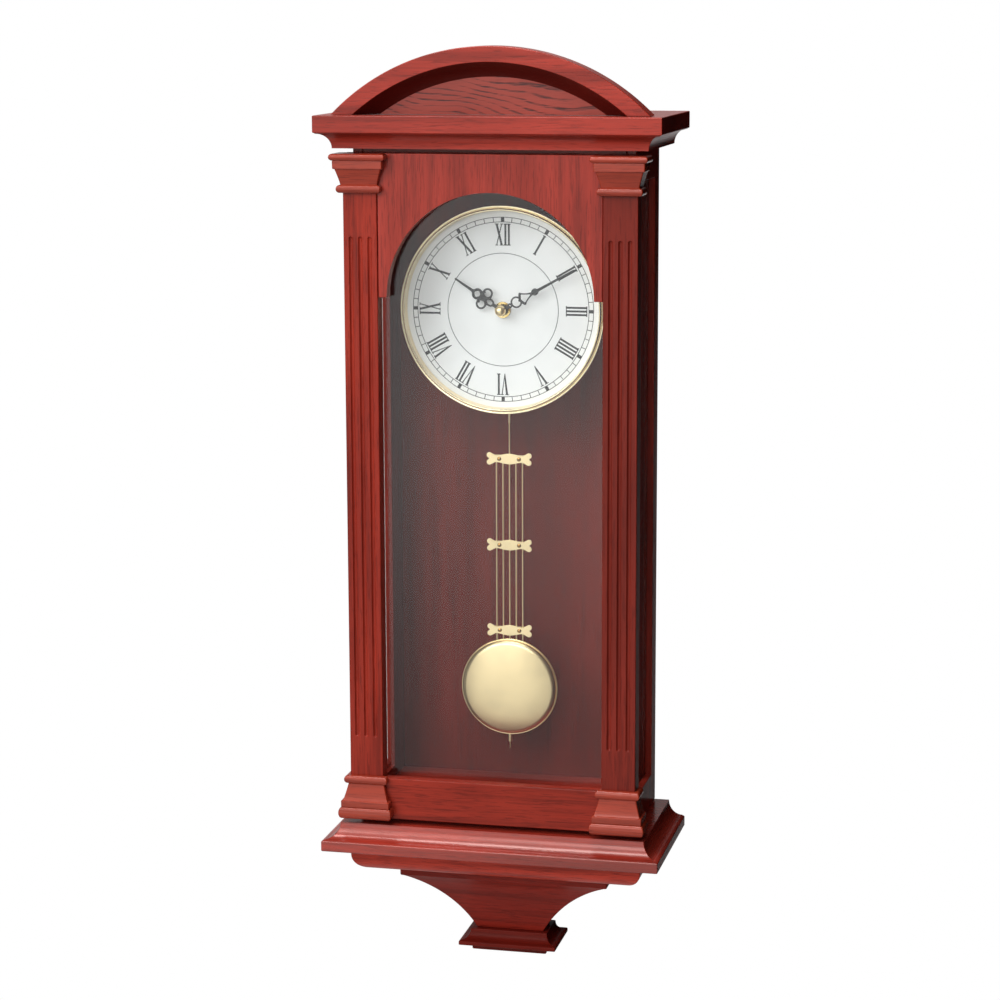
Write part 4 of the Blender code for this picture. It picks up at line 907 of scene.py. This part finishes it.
def capital_levels(low, high):
    bell_low = low + 0.0066
    bell_high = low + 0.0188
    levels = roll(low, low + 0.0062, 0.0020, 0.0024)
    for index in range(13):
        part = index / 12
        levels.append((bell_low + (bell_high - bell_low) * part, 0.0014 + 0.0036 * part ** 1.15))
    levels += [(bell_high + 0.0001, 0.0056), (bell_high + 0.0002, 0.0061), (bell_high + 0.0006, 0.0064),
               (bell_high + 0.0062, 0.0066), (bell_high + 0.0066, 0.0064)]
    levels += roll(bell_high + 0.0068, high, 0.0064, 0.0026)
    return levels


def base_levels(low, high):
    foot = low - 0.0006
    levels = roll(low, foot + 0.0098, 0.0062, 0.0024)
    levels += [(foot + 0.0101, 0.0063), (foot + 0.0104, 0.0066), (foot + 0.0150, 0.0066),
               (foot + 0.0154, 0.0064), (foot + 0.0156, 0.0058)]
    taper_low = foot + 0.0158
    taper_high = high - 0.0072
    for index in range(13):
        part = index / 12
        levels.append((taper_low + (taper_high - taper_low) * part, 0.0052 - 0.0038 * part ** 0.85))
    levels += roll(high - 0.0066, high, 0.0018, 0.0026)
    return levels


def build_wrap(node, sign, levels):
    """A capital or a base: front, inner return and outer return in one carved block."""
    low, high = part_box(node)
    stile_low, stile_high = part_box("door_stile_right")
    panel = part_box("door_arch_panel")[0].y
    rings = [wrap_plan(sign, spread, height, stile_high.x, stile_low.x, stile_low.y, high.y, panel)
             for height, spread in levels(low.z, high.z)]
    finish(node, loft(rings), CARVED, sharp=32.0)


def build_arch_panel():
    low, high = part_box("door_arch_panel")
    spring = DIAL.z + ARCH_SPRING
    outline = [(high.x, spring), (high.x, high.z), (low.x, high.z), (low.x, spring)]
    outline += list(reversed(arc(ARCH_RADIUS, 0.0, 180.0, 96, (0.0, spring))))
    finish("door_arch_panel", plate(outline, low.y, high.y, 0.0006), MAHOGANY["Z"])


def screw_mesh(radius, dome, slot_width, material, name):
    """A domed slotted head about the origin, facing -Y."""
    profile = domed(radius, -dome, dome, 8) + [(radius, 0.0002), (0.0, 0.0002)]
    head = piece_from(turned(profile, 28, (0.0, 0.0, 0.0)), name, [material])
    cut(head, [block((-radius * 1.2, -dome * 1.2, -slot_width), (radius * 1.2, -dome * 0.35, slot_width))])
    mesh = head.data
    bpy.data.objects.remove(head, do_unlink=True)
    return mesh


def place_screws(mesh, name, places, node, facing=0.0):
    """Copies of a screw at (x, y, z) places; facing turns them about Z, and each is turned a little."""
    for index, place in enumerate(places, start=1):
        screw = bpy.data.objects.new("%s_%d" % (name, index), mesh)
        turn = Matrix.Rotation(math.radians(37.0 * index + 20.0), 4, "Y")
        screw.matrix_world = Matrix.Translation(place) @ Matrix.Rotation(facing, 4, "Z") @ turn
        SCENE.collection.objects.link(screw)
        beside(screw, node)


# ---- dial
def letter_i(width):
    half = width / 2
    bar = STEM / 2
    foot = SERIF * 1.6
    right = [(half, 0.0), (half, SERIF), (bar, foot), (bar, NUMERAL_HEIGHT - foot),
             (half, NUMERAL_HEIGHT - SERIF), (half, NUMERAL_HEIGHT)]
    return right + mirrored(right)


def crossing(a, b, c, d):
    """Where line ab meets line cd."""
    a, b, c, d = (Vector(point) for point in (a, b, c, d))
    along = b - a
    other = d - c
    share = (c - a).cross(other) / along.cross(other)
    point = a + along * share
    return (point.x, point.y)


def letter_v(width):
    """A thick stroke down from the left and a thin one up to the right, with serifs on top."""
    top = NUMERAL_HEIGHT
    under = top - SERIF
    reach = 0.0009
    left = -width / 2 + reach
    right = width / 2 - reach
    foot = -0.0002
    inner = crossing((left + THICK, top), (foot + THICK * 0.55, 0.0), (right - HAIR, top), (foot, 0.0))
    return [(foot - 0.0001, 0.0), (foot + 0.0004, 0.0), (right, under), (right + reach, under),
            (right + reach, top), (right - HAIR - reach, top), (right - HAIR - reach, under),
            (right - HAIR, under), inner, (left + THICK, under), (left + THICK + reach * 0.7, under),
            (left + THICK + reach * 0.7, top), (left - reach, top), (left - reach, under), (left, under)]


def letter_x(width):
    """A thick stroke from the top left, a thin one from the top right, and four serifs."""
    top = NUMERAL_HEIGHT
    under = top - SERIF
    reach = 0.0008
    side = width / 2 - reach - THICK / 2

    def edge(start, offset):
        """The top and the foot of one edge of a stroke that starts at the left (-1) or the right (1)."""
        return (start * side + offset, under), (-start * side + offset, SERIF)

    def head(first, last):
        """The top of a stroke, with its serif."""
        left = first[0] - reach
        right = last[0] + reach
        return [first, (left, under), (left, top), (right, top), (right, under), last]

    heavy = (edge(-1, -THICK / 2), edge(-1, THICK / 2))
    fine = (edge(1, -HAIR / 2), edge(1, HAIR / 2))
    half = head(heavy[0][0], heavy[1][0]) + [crossing(*heavy[1], *fine[0])]
    half += head(fine[0][0], fine[1][0]) + [crossing(*heavy[1], *fine[1])]
    return half + [(-x, top - z) for x, z in half]


LETTERS = {"I": letter_i, "V": letter_v, "X": letter_x}


def on_dial(outline, turn):
    """Move an outline from the twelve o'clock place to an angle, clockwise."""
    sine = math.sin(turn)
    cosine = math.cos(turn)
    return [(DIAL.x + x * cosine + z * sine, DIAL.z - x * sine + z * cosine) for x, z in outline]


def numeral_outlines(text, turn):
    across = -sum(LETTER_WIDTH[letter] for letter in text) / 2
    outlines = []
    for letter in text:
        width = LETTER_WIDTH[letter]
        middle = across + width / 2
        moved = [(x + middle, z + NUMERAL_INNER) for x, z in LETTERS[letter](width - LETTER_GAP)]
        outlines.append(on_dial(moved, turn))
        across += width
    return outlines


def flat_ring(inner, outer, front, back):
    profile = [(inner, front), (outer, front), (outer, back), (inner, back)]
    return turned(profile, 180, DIAL, ring=True)


def build_dial_print():
    back = DIAL_FACE - PRINT_LIFT
    front = back - PRINT_THICK
    half_line = LINE / 2
    bodies = [flat_ring(radius - half_line, radius + half_line, front, back)
              for radius in (TRACK_OUTER, TRACK_INNER, CHAPTER_LINE)]
    low = TRACK_INNER + half_line
    high = TRACK_OUTER - half_line
    outlines = []
    for minute in range(60):
        half = 0.00135 if minute % 5 == 0 else LINE * 0.55
        outlines.append(on_dial([(-half, low), (half, low), (half, high), (-half, high)],
                                minute * math.pi / 30))
    for hour, text in enumerate(NUMERALS):
        outlines += numeral_outlines(text, hour * math.pi / 6)
    bodies += [plate(outline, front, back) for outline in outlines]
    piece = piece_from(joined(bodies), "dial_print", [INK])
    beside(piece, "dial_plate")


def build_dial():
    low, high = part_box("dial_plate")
    radius = (high.x - low.x) / 2
    profile = [(SHAFT_BORE, low.y + 0.0001), (SHAFT_BORE + 0.0001, low.y), (radius - 0.0003, low.y),
               (radius, low.y + 0.0003), (radius, high.y), (SHAFT_BORE, high.y)]
    finish("dial_plate", turned(profile, 144, DIAL, ring=True), FINISH["dial_white"])
    build_dial_print()
    build_bezel(radius)


def build_bezel(dial_radius):
    """A ring with a rounded crest, a slope outside it, and a small lip at its rim."""
    low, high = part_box("dial_bezel")
    outer = (high.x - low.x) / 2
    inner = outer - 0.0049
    crest = outer - 0.0035
    face = low.y
    lip = DIAL_FACE - GAP
    profile = [(inner, lip), (inner + 0.0002, lip - 0.0010), (crest - 0.0009, face + 0.0010),
               (crest - 0.0004, face), (crest + 0.0004, face), (crest + 0.0011, face + 0.0010),
               (outer - 0.0018, face + 0.0030), (outer - 0.0010, face + 0.0026),
               (outer - 0.0002, face + 0.0027), (outer, face + 0.0036), (outer, high.y),
               (dial_radius + GAP, high.y), (dial_radius + GAP, lip), (inner, lip)]
    bm = turned(rounded(profile, 0.0006, 4)[1:], 160, DIAL, ring=True)
    bmesh.ops.remove_doubles(bm, verts=bm.verts, dist=0.000002)
    finish("dial_bezel", bm, FINISH["bezel_brass"], sharp=50.0)


# ---- hands
def bulge(along, centre, across, radius_along, radius_across):
    """Half width of a round shape whose middle stands across from the hand's line."""
    part = (along - centre) / radius_along
    if abs(part) >= 1:
        return 0.0
    return across + radius_across * math.sqrt(1 - part * part)


def tapered(along, marks):
    """Half width between (distance, half width) marks."""
    for (a, wide), (b, narrow) in zip(marks, marks[1:]):
        if a <= along <= b:
            return wide + (narrow - wide) * (along - a) / (b - a)
    return 0.0


def hand_sides(shaft, rounds, start, end, steps):
    """A hand's outline from its half width, sampled in equal steps along it."""
    right = []
    for index in range(steps + 1):
        along = start + (end - start) * index / steps
        wide = max(tapered(along, shaft), *(bulge(along, *part) for part in rounds))
        right.append((max(wide, 0.00005), along))
    return right + mirrored(right)


# A hand's outline. Shaft: (distance along it, half width).
# Round parts: (distance, offset to the side, half length, half width).
HOUR_SHAFT = ((0.0, 0.0013), (0.0158, 0.0013), (0.0262, 0.0024), (0.0292, 0.0011), (0.0440, 0.00075),
              (0.0460, 0.0006))
HOUR_ROUNDS = ((0.0, 0.0, 0.0046, 0.0046), (0.0118, 0.0, 0.0042, 0.0032), (0.0169, 0.0051, 0.0043, 0.0043),
               (0.0238, 0.0010, 0.0041, 0.0036))
MINUTE_SHAFT = ((0.0, 0.0013), (0.0172, 0.0013), (0.0198, 0.0053), (0.0206, 0.0056), (0.0222, 0.0042),
                (0.0250, 0.0026), (0.0286, 0.0014), (0.0360, 0.00115), (0.0680, 0.0007), (0.0694, 0.0005))
MINUTE_ROUNDS = ((0.0, 0.0, 0.0037, 0.0037), (0.0085, 0.0, 0.0022, 0.0020), (0.0147, 0.0, 0.0047, 0.0047),
                 (0.0322, 0.0, 0.0030, 0.0028))


def hour_openings():
    """The hub's bore, the teardrop, the two rings and the head."""
    tear = [(x * 0.0017 * (1.0 - 0.13 * z), 0.0118 + z * 0.0026) for x, z in circle(1.0, 32)]
    holes = [circle(0.0028, 28), tear]
    for side in (-1, 1):
        hole = []
        for x, z in circle(0.0028, 40):
            push = max(0.0, 0.0011 - math.hypot(x + side * 0.0004, z - 0.0023))
            hole.append((side * 0.0051 + x, 0.0169 + z - 1.8 * push))
        holes.append(hole)
    head = []
    for x, z in circle(1.0, 48):
        waist = 1.0 - 0.28 * max(0.0, -z) - 0.35 * max(0.0, z)
        head.append((x * 0.0027 * waist, 0.0239 + z * 0.0025))
    holes.append(head)
    return holes


def minute_openings():
    """The hub's bore, the ring, the small knot and the spade."""
    ring = []
    for x, z in circle(0.0034, 40):
        push = max(0.0, 0.0013 - math.hypot(x, z - 0.0032))
        ring.append((x, 0.0147 + z - 1.5 * push))
    knot = [(0.0, 0.0074), (0.0009, 0.0085), (0.0, 0.0096), (-0.0009, 0.0085)]
    spade = [(0.0, 0.0192), (0.0016, 0.0198), (0.0036, 0.0210), (0.0028, 0.0224), (0.0015, 0.0248),
             (0.0005, 0.0272), (0.0, 0.0277)]
    return [circle(0.0017, 24), ring, knot, spade + mirrored(spade[1:-1])]


def hand_turn(low, high):
    """The clockwise angle of a hand, from the far corner of its box."""
    right = high.x - DIAL.x
    left = DIAL.x - low.x
    return math.atan2(right if right > left else -left, high.z - DIAL.z)


def build_hand(node, shaft, rounds, tail, tip, steps, openings):
    low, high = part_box(node)
    outlines = [hand_sides(shaft, rounds, -tail, tip, steps), *openings]
    piece = sheet_metal(node + "_finished", outlines, low.y, high.y, DIAL, hand_turn(low, high),
                        FINISH["hand_black"])
    stands_for(piece, node)


def build_hand_nut():
    low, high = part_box("hand_nut")
    radius = (high.x - low.x) / 2
    profile = domed(radius, low.y, 0.0040, 12)
    profile += [(radius, high.y - 0.0004), (radius - 0.0002, high.y), (0.0017, high.y),
                (0.0017, high.y - 0.0024), (0.0, high.y - 0.0024)]
    finish("hand_nut", turned(profile, 64, DIAL), FINISH["pale_brass"], sharp=40.0)


def build_dial_nut():
    """A round washer and a six-sided nut."""
    low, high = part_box("dial_nut")
    washer = [(SHAFT_BORE, high.y - 0.0007), (0.0063, high.y - 0.0007), (0.0066, high.y - 0.0004),
              (0.0066, high.y), (SHAFT_BORE, high.y)]
    nut = [(SHAFT_BORE, low.y + 0.0003), (0.0045, low.y), (0.0056, low.y), (0.0060, low.y + 0.0004),
           (0.0060, high.y - 0.0008), (SHAFT_BORE, high.y - 0.0008)]
    bm = joined([turned(washer, 64, DIAL, ring=True), turned(nut, 6, DIAL, ring=True)])
    finish("dial_nut", bm, FINISH["brass"], sharp=30.0)


def build_hands():
    build_hand("hour_hand", HOUR_SHAFT, HOUR_ROUNDS, HOUR_TAIL, HOUR_TIP, 220, hour_openings())
    build_hand("minute_hand", MINUTE_SHAFT, MINUTE_ROUNDS, MINUTE_TAIL, MINUTE_TIP, 260, minute_openings())
    build_hand_nut()
    build_dial_nut()


# ---- pendulum
def plate_outline():
    """The bridge plate: full in the middle, necked, with two round lobes at each end."""
    low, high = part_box("bridge_plate_1")
    half = (high.x - low.x) / 2
    top = []
    for index in range(17):
        x = PLATE_NECK_X * index / 16
        top.append((x, PLATE_NECK + PLATE_SWELL * (0.5 + 0.5 * math.cos(math.pi * x / PLATE_NECK_X))))
    top += arc(PLATE_LOBE, 122.0, -78.0, 22, (half - PLATE_LOBE, PLATE_LOBE_Z))
    right = top + [(x, -z) for x, z in reversed(top)]
    return right + mirrored(right[1:-1])


def build_bridges():
    outline = plate_outline()
    screw = screw_mesh(0.0018, 0.0010, 0.00022, DARK_BRASS, "plate_screw")
    for number in (1, 2, 3):
        node = "bridge_plate_%d" % number
        low, high, middle = box_of(node)
        piece = sheet_metal(node + "_finished", [outline], low.y, high.y, middle, 0.0,
                            FINISH["pale_brass"], 0.00012)
        stands_for(piece, node)
        places = [(side * PLATE_SCREW_X, low.y, middle.z) for side in (-1, 1)]
        place_screws(screw, node + "_screw", places, node)


def rod(low, high, radius, centre, end=0.0002):
    profile = [(0.0, low), (radius - end, low), (radius, low + end), (radius, high - end),
               (radius - end, high), (0.0, high)]
    return turned(profile, 16, centre, axis="Z")


def build_grid():
    """Five rods, the straps behind the bridge plates, and the threaded end."""
    low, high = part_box("gridiron_rods")
    centre = middle_of("pendulum_hanger_rod")
    bob_low, bob_high, bob = box_of("bob_front")
    bob_radius = (bob_high.z - bob_low.z) / 2
    bodies = []
    for index in range(-2, 3):
        x = index * ROD_PITCH
        bottom = bob.z + math.sqrt(bob_radius ** 2 - x ** 2) - 0.0080
        top = high.z - 0.0035 if index == 0 else high.z
        bodies.append(rod(bottom, top, ROD_RADIUS, (x, centre.y, 0.0)))
    for number in (1, 2, 3):
        plate_z = middle_of("bridge_plate_%d" % number).z
        strap = block((-0.0150, centre.y + ROD_RADIUS + 0.00002, plate_z - 0.0030),
                      (0.0150, centre.y + 0.0012, plate_z + 0.0030))
        soften(strap, 0.0002)
        bodies.append(strap)
    bodies.append(threaded(low.z, bob.z + bob_radius - 0.0085, centre))
    finish("gridiron_rods", joined(bodies), FINISH["pale_brass"])


def threaded(low, high, centre):
    """A rod whose lower end has a screw thread, drawn as close rings."""
    radius = THREAD_RADIUS
    profile = [(0.0, low), (radius * 0.7, low), (radius * 0.85, low + 0.0002)]
    height = low + 0.0004
    while height < low + THREAD_LENGTH:
        profile += [(radius * 0.84, height), (radius, height + THREAD_PITCH / 2)]
        height += THREAD_PITCH
    profile += [(radius, height), (radius, high - 0.0002), (radius * 0.7, high), (0.0, high)]
    return turned(profile, 16, centre, axis="Z")


def build_hanger_rod():
    """A thin rod with a thicker upper length, a collar and an eye."""
    low, high, centre = box_of("pendulum_hanger_rod")
    eye_z = high.z - 0.0026
    neck = eye_z - 0.0032
    step = low.z + 0.0257
    shaft = [(0.0, low.z), (0.00055, low.z), (0.0006, low.z + 0.0003), (0.0006, step - 0.0006),
             (0.0009, step - 0.0002), (0.0009, eye_z - 0.0040), (0.0007, neck), (0.0, neck)]
    eye = []
    for side, radii in ((-1, (0.0013, 0.0015, 0.0024, 0.0026)), (1, (0.0026, 0.0024, 0.0015, 0.0013))):
        for radius, out in zip(radii, (0.0004, 0.0006, 0.0006, 0.0004)):
            eye.append((radius, centre.y + side * out))
    collar = rod(neck + 0.00002, eye_z - 0.00262, 0.0012, centre, 0.0001)
    bodies = [turned(shaft, 20, centre, axis="Z"), collar,
              turned(eye, 40, Vector((centre.x, centre.y, eye_z)), ring=True)]
    finish("pendulum_hanger_rod", joined(bodies), FINISH["pale_brass"])


def bob_profile(radius, front, back):
    """A crowned face that rolls over into a steep wall; points run from the middle out."""
    face_radius = radius - BOB_SHOULDER
    points = []
    for index in range(29):
        share = index / 28
        points.append((face_radius * share, front + BOB_CROWN * share ** 3))
    drop = back - front - BOB_CROWN
    start = math.atan(3 * BOB_CROWN / face_radius * BOB_SHOULDER / drop)
    for index in range(1, 15):
        angle = start + (math.pi / 2 - start) * index / 14
        out = (math.sin(angle) - math.sin(start)) / (1 - math.sin(start))
        down = (math.cos(start) - math.cos(angle)) / math.cos(start)
        points.append((face_radius + BOB_SHOULDER * out, front + BOB_CROWN + drop * down))
    return points


def build_bob():
    low, high, centre = box_of("bob_front")
    radius = (high.z - low.z) / 2
    rim = high.y - 0.0008
    profile = bob_profile(radius - 0.0009, low.y, rim)
    profile += [(radius - 0.0007, rim + 0.0001), (radius - 0.0003, rim), (radius, rim + 0.0003),
                (radius, rim + 0.0006), (radius - 0.0002, rim + 0.0008), (radius - 0.0014, rim + 0.0008)]
    profile += list(reversed(bob_profile(radius - 0.0016, low.y + 0.0006, rim + 0.0007)))
    finish("bob_front", turned(profile, 128, centre), FINISH["pale_brass"], sharp=40.0)

    low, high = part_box("bob_back")
    edge = (high.z - low.z) / 2
    profile = [(0.0, low.y), (edge - 0.0002, low.y), (edge, low.y + 0.0002), (edge, high.y - 0.0002),
               (edge - 0.0002, high.y), (0.0, high.y)]
    finish("bob_back", turned(profile, 96, centre), FINISH["pale_brass"])


def knurl(bm, centre, plane, columns, beyond, depth):
    """Press in every second column of the points that lie beyond a radius; plane is two axis numbers."""
    for vert in bm.verts:
        flat = Vector([vert.co[axis] - centre[axis] for axis in plane])
        column = round(math.atan2(flat.y, flat.x) / (2 * math.pi) * columns)
        if column % 2 and flat.length > beyond:
            flat -= flat.normalized() * depth
            for axis, reach in zip(plane, flat):
                vert.co[axis] = centre[axis] + reach


def build_rating_nut():
    low, high, centre = box_of("rating_nut")
    outer = (high.x - low.x) / 2
    profile = [(outer - 0.00018, low.z), (outer - 0.00004, low.z + 0.0003), (outer, low.z + 0.0005),
               (outer, high.z - 0.0005), (outer - 0.00004, high.z - 0.0003), (outer - 0.00018, high.z),
               (NUT_BORE, high.z), (NUT_BORE, low.z)]
    bm = turned(profile, 2 * KNURLS, centre, axis="Z", ring=True)
    knurl(bm, centre, (0, 1), 2 * KNURLS, outer - 0.00002, 0.00012)
    finish("rating_nut", bm, FINISH["pale_brass"], sharp=40.0)


# ---- inside and back
def build_battery():
    low, high, centre = box_of("battery")
    radius = (high.z - low.z) / 2
    jacket = [(0.0, low.x + 0.0006), (radius - 0.0002, low.x + 0.0006), (radius, low.x + 0.0009),
              (radius, high.x - 0.0012), (radius - 0.0003, high.x - 0.0009), (0.0, high.x - 0.0009)]
    stud = [(0.0, high.x - 0.00088), (0.0026, high.x - 0.00088), (0.0026, high.x - 0.0002),
            (0.0023, high.x), (0.0, high.x)]
    tail = [(0.0, low.x), (0.0042, low.x), (0.0046, low.x + 0.00058), (0.0, low.x + 0.00058)]
    finish("battery", turned(jacket, 64, centre, axis="X"), FINISH["battery_jacket"])
    ends = joined([turned(stud, 32, centre, axis="X"), turned(tail, 32, centre, axis="X")])
    beside(piece_from(ends, "battery_ends", [FINISH["steel"]]), "battery")


def build_knob():
    low, high, centre = box_of("setting_knob")
    radius = (high.z - low.z) / 2
    profile = [(0.0, low.y), (0.0017, low.y), (0.0017, high.y - 0.0056), (radius - 0.0008, high.y - 0.0056),
               (radius, high.y - 0.0052), (radius, high.y - 0.0004), (radius - 0.0008, high.y),
               (0.0, high.y)]
    bm = turned(rounded(profile, 0.0003), KNOB_COLUMNS, centre)
    knurl(bm, centre, (0, 2), KNOB_COLUMNS, radius - 0.0004, 0.0003)
    finish("setting_knob", bm, FINISH["black_plastic"], sharp=30.0)


def sunk_screws(node, name, spots, radius, dome, depth, seat):
    """Steel screws in countersinks at (x, z) spots of the node's back face."""
    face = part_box(node)[1].y
    wide = radius + 0.0006
    profile = [(0.0, face - depth), (wide * 0.8, face - depth), (wide, face - 0.0001),
               (wide, face + 0.001), (0.0, face + 0.001)]
    cut(refined(node), [turned(profile, 28, (x, 0.0, z)) for x, z in spots])
    screw = screw_mesh(radius, dome, 0.0003, FINISH["steel"], name)
    place_screws(screw, name, [(x, face - seat, z) for x, z in spots], node, math.pi)


def build_back_screws():
    """Countersunk screws of the back panel and of the hanger plate."""
    low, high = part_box("back_panel")
    rows = [low.z + 0.008 + (high.z - low.z - 0.014) * index / 4 for index in range(5)]
    spots = [(side * (high.x - 0.0065), height) for side in (-1, 1) for height in rows]
    sunk_screws("back_panel", "panel_screw", spots, PANEL_SCREW, 0.0010, 0.0014, 0.0012)
    height = middle_of("hanger_plate").z
    spots = [(side * 0.0155, height) for side in (-1, 1)]
    sunk_screws("hanger_plate", "hanger_screw", spots, HANGER_SCREW, 0.0007, 0.0010, 0.0008)


def build_hinge_screws():
    """Three flush screws in each leaf, seen when the door is open."""
    screw = screw_mesh(LEAF_SCREW, 0.00015, 0.00025, FINISH["brass"], "leaf_screw")
    case_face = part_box("side_frame_left")[0].y
    door_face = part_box("door_stile_left")[1].y
    for place in ("upper", "lower"):
        for kind, face, facing in (("case", case_face, 0.0), ("door", door_face, math.pi)):
            node = "hinge_%s_%s_leaf" % (place, kind)
            high, middle = box_of(node)[1:]
            places = [(high.x - 0.0045, face, middle.z + step * LEAF_SCREW_PITCH) for step in (-1, 0, 1)]
            place_screws(screw, node + "_screw", places, node, facing)


KEPT = ("door_glass", "side_glass_left", "side_glass_right", "minute_arbor", "minute_wheel", "hour_wheel",
        "circuit_board", "motor_coil", "pendulum_drive_coil")


def build_door():
    for side, sign in (("left", -1), ("right", 1)):
        build_stile("door_stile_" + side, sign)
    for side, sign in (("left", -1), ("right", 1)):
        build_wrap("capital_" + side, sign, capital_levels)
        build_wrap("pilaster_base_" + side, sign, base_levels)
    build_arch_panel()


def build_clock():
    for build in (build_crown, build_ledge, build_ovolo, build_corbel, build_foot, build_pediment,
                  build_tympanum, build_door, build_dial, build_hands, build_bridges, build_grid,
                  build_hanger_rod, build_bob, build_rating_nut, build_battery, build_knob,
                  build_back_screws, build_hinge_screws):
        build()
    for node, cad in frame["nodes"].items():
        if node in KEPT:
            cad.material_slots[0].material = finish_of(node)
        elif node not in BUILT:
            refined(node)


# ---- setting
# direction, inner and outer radius in degrees, strength
WORLD_PATCHES = (
    ((-0.24, -0.93, -0.28), 15.0, 48.0, 0.92),      # the pale room in front, seen in the brass
    ((-0.25, -0.96, -0.04), 4.0, 14.0, 1.15),       # its brightest part, seen in the glass
    ((-0.22, -0.72, 0.66), 12.0, 34.0, 1.60),       # a wide soft box overhead, seen in the ledge
    ((-0.85, -0.50, -0.15), 8.0, 38.0, 0.30),       # a pale wall at the left
    ((-0.27, 0.95, 0.06), 8.0, 19.0, 0.70),         # the backdrop, seen at grazing angles
    ((-0.04, 0.95, -0.26), 5.0, 13.0, 0.75),        # its foot, seen in the crown's end
    ((-0.60, -0.50, 0.60), 10.0, 110.0, 0.16),      # the rest of the room
)

# name, place, what it faces, width, height, power
LAMPS = (
    ("key", (-1.25, -1.45, 0.75), (0.0, -0.08, -0.20), 1.1, 1.1, 19.5),
    ("front", (0.05, -2.30, 0.95), (0.0, -0.08, -0.25), 1.3, 1.0, 13.0),
    ("overhead", (-0.25, -0.35, 1.20), (-0.05, -0.10, -0.20), 1.0, 0.6, 17.0),
)

CAMERA_PLACE = (0.49598, -2.21286, 0.14214)
CAMERA_YAW = 13.109           # degrees, to the left
CAMERA_PITCH = -10.387
CAMERA_ROLL = -0.208
CAMERA_LENS = 98.52
FLOOR_TOP = -1.50
FLOOR_RADIUS = 1.20


def area_light(name, place, target, width, height, power):
    lamp = bpy.data.lights.new(name, "AREA")
    lamp.shape = "RECTANGLE"
    lamp.size = width
    lamp.size_y = height
    lamp.energy = power
    light = bpy.data.objects.new(name, lamp)
    light.location = place
    light.rotation_mode = "QUATERNION"
    light.rotation_quaternion = (Vector(target) - Vector(place)).to_track_quat("-Z", "Y")
    SCENE.collection.objects.link(light)


def lobe(tree, direction, inner, outer, strength):
    """A soft round patch of light in the world: full within inner degrees, gone beyond outer."""
    inputs = {0: tree.add("TexCoord", {}).outputs["Generated"], 1: Vector(direction).normalized()}
    toward = tree.add("VectorMath", inputs, operation="DOT_PRODUCT").outputs["Value"]
    return tree.between(toward, math.cos(math.radians(outer)), math.cos(math.radians(inner)), strength)


def build_world():
    """White to the camera; as light, a few soft patches in a dim surround that is dark on the right."""
    world = bpy.data.worlds.new("studio")
    world.use_nodes = True
    world.node_tree.nodes.clear()
    tree = Tree(world.node_tree)
    total = lobe(tree, *WORLD_PATCHES[0])
    for patch in WORLD_PATCHES[1:]:
        total = tree.maths("ADD", total, lobe(tree, *patch))
    light = tree.add("Background", {"Strength": total}).outputs[0]
    white = tree.add("Background", {"Color": colour(1.0, 1.0, 1.0)}).outputs[0]
    seen = tree.add("LightPath", {}).outputs["Is Camera Ray"]
    final = tree.add("MixShader", {0: seen, 1: light, 2: white}).outputs[0]
    tree.add("OutputWorld", {"Surface": final})
    SCENE.world = world


def build_floor():
    """A plain pale floor below the hanging clock."""
    nodes = Nodes("pale_floor")
    nodes.set(Base_Color=colour(0.90, 0.90, 0.90), Roughness=0.7)
    profile = [(0.0, FLOOR_TOP - 0.02), (FLOOR_RADIUS, FLOOR_TOP - 0.02),
               (FLOOR_RADIUS + 0.02, FLOOR_TOP - 0.01), (FLOOR_RADIUS, FLOOR_TOP), (0.0, FLOOR_TOP)]
    floor = piece_from(turned(profile, 96, (0.0, 0.0, 0.0), axis="Z"), "floor", [nodes.material])


def build_camera():
    """The camera stands right of and a little above the dial, and looks down and to the left."""
    data = bpy.data.cameras.new("camera")
    data.sensor_width = 36.0
    data.lens = CAMERA_LENS
    camera = bpy.data.objects.new("camera", data)
    turn = Matrix.Rotation(math.radians(CAMERA_YAW), 4, "Z")
    turn = turn @ Matrix.Rotation(math.radians(90.0 + CAMERA_PITCH), 4, "X")
    turn = turn @ Matrix.Rotation(math.radians(CAMERA_ROLL), 4, "Z")
    camera.matrix_world = Matrix.Translation(CAMERA_PLACE) @ turn
    SCENE.collection.objects.link(camera)
    SCENE.camera = camera


def build_setting():
    SCENE.view_settings.view_transform = "Standard"
    build_world()
    build_floor()
    for lamp in LAMPS:
        area_light(*lamp)
    build_camera()


build_clock()
build_setting()
